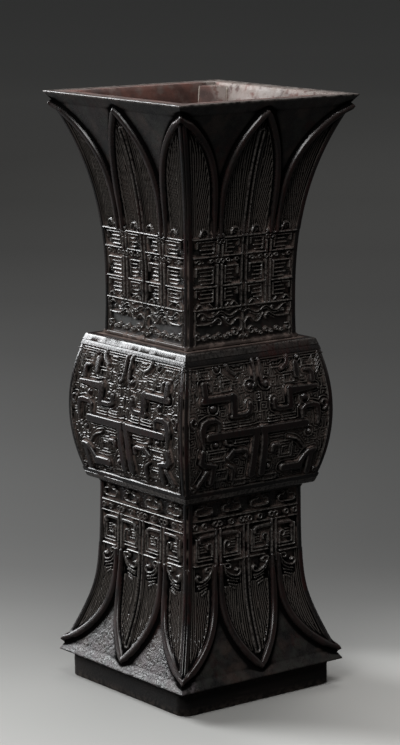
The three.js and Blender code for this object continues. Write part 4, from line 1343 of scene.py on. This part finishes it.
# %% Floor of graded paper
floor_mesh = bpy.data.meshes.new("floor")
reach = 12.0
floor_mesh.from_pydata([(x * reach, y * reach, 0) for x, y in ((-1, -1), (1, -1), (1, 1), (-1, 1))],
                       [], [(0, 1, 2, 3)])
floor = bpy.data.objects.new("floor", floor_mesh)
bpy.context.scene.collection.objects.link(floor)
away, rightward = (0.615, 0.788, 0), (0.788, -0.615, 0)
paper, place, shader = new_finish("graded_paper")
behind = place.node("ShaderNodeVectorMath", {"operation": "DOT_PRODUCT"}, {0: place, 1: away}, 1)
tones = ((-0.10, 0.39), (-0.03, 0.30), (0.02, 0.225), (0.055, 0.185), (0.086, 0.157),
         (0.118, 0.119), (0.171, 0.079), (0.23, 0.066), (0.31, 0.061), (0.5, 0.056),
         (0.75, 0.062), (0.97, 0.084), (1.24, 0.133), (1.59, 0.25), (2.06, 0.49), (2.73, 0.775),
         (3.76, 0.89), (5.0, 0.90))
stops = [((far + 0.1) / 5.1, (tone, 0.99 * tone, 0.95 * tone, 1)) for far, tone in tones]
graded = behind.node("ShaderNodeValToRGB", {"stops": stops}, {0: (behind + 0.1) / 5.1})
across = place.node("ShaderNodeVectorMath", {"operation": "DOT_PRODUCT"},
                    {0: place, 1: rightward}, 1)
# A painted patch of light in front on the right, lifting the vase's shadow there.
painted_light_patch = 0.5 * across.rising(0.0, 0.10) * behind.rising(0.05, -0.01)
graded = lay(painted_light_patch, graded, (0.9, 0.89, 0.86))
seen = place.node("ShaderNodeLightPath")
feed(shader, Base_Color=lay(seen, (0.020, 0.020, 0.020), graded),
     Roughness=0.75 + 0.1 * noise(place, 300.0))
floor_mesh.materials.append(paper)
print("floor:", 2 * reach, "m wide,", len(tones), "tones")

# %% [markdown]
# The lights. A tall soft key stands far behind the left face. It rakes along that face, so its
# light is mirrored by every edge of the carving and fades towards the near corner, and hardly any
# reaches the front. A small light at the left, a weak one at the right, one above and one behind
# keep the other faces readable from every side. All are soft and nearly white, and the world adds a
# little grey from all round.

# %% Lights and surroundings
def soft_light(name, azimuth, elevation, distance, width, height, power, colour):
    """A lamp turned to the vase. Azimuth 0 is the front and 90 the right; sizes in metres."""
    lamp = bpy.data.lights.new(name, "AREA")
    lamp.shape, lamp.size, lamp.size_y = "RECTANGLE", width, height
    lamp.energy, lamp.color = power, colour
    a, e = math.radians(azimuth), math.radians(elevation)
    holder = bpy.data.objects.new(name, lamp)
    holder.location = (distance * math.sin(a) * math.cos(e), -distance * math.cos(a) * math.cos(e),
                       0.12 + distance * math.sin(e))
    holder.rotation_euler = (math.pi / 2 - e, 0, a)
    bpy.context.scene.collection.objects.link(holder)


soft_light("key", -156, 30, 0.9, 0.34, 0.8, 15, (0.96, 0.98, 1.0))
soft_light("side", -60, 34, 1.0, 0.3, 0.3, 3.2, (1.0, 1.0, 1.0))
soft_light("fill", 60, 18, 1.6, 0.7, 0.7, 0.5, (1.0, 0.98, 0.95))
soft_light("top", -30, 70, 1.2, 0.4, 0.4, 5, (1.0, 1.0, 1.0))
soft_light("back", 130, 62, 1.4, 0.6, 0.6, 3.5, (1.0, 0.98, 0.96))
world = bpy.data.worlds.new("surroundings")
world.use_nodes = True
sky = world.node_tree.nodes["Background"]
sky.inputs["Color"].default_value = (0.42, 0.43, 0.44, 1)
sky.inputs["Strength"].default_value = 0.07
bpy.context.scene.world = world
bpy.context.scene.view_settings.view_transform = "Standard"

# %% [markdown]
# The camera stands where the photographer did: a little above the vase, with the near corner to
# the left of the middle. A view from further round would show one face square on, but this one
# shows two faces and the inside of the rim. Its place was worked out from the corners of the rim,
# the belly and the skirt.

# %% Camera
lens = bpy.data.cameras.new("camera")
lens.lens, lens.sensor_width, lens.sensor_fit = 129.7, 36.0, "AUTO"
camera = bpy.data.objects.new("camera", lens)
camera.location = (-0.6532, -0.8348, 0.329)
camera.rotation_euler = (math.radians(90 - 10.76), 0, math.radians(-38.04))
bpy.context.scene.collection.objects.link(camera)
bpy.context.scene.camera = camera
print("camera:", [round(v, 3) for v in camera.location])
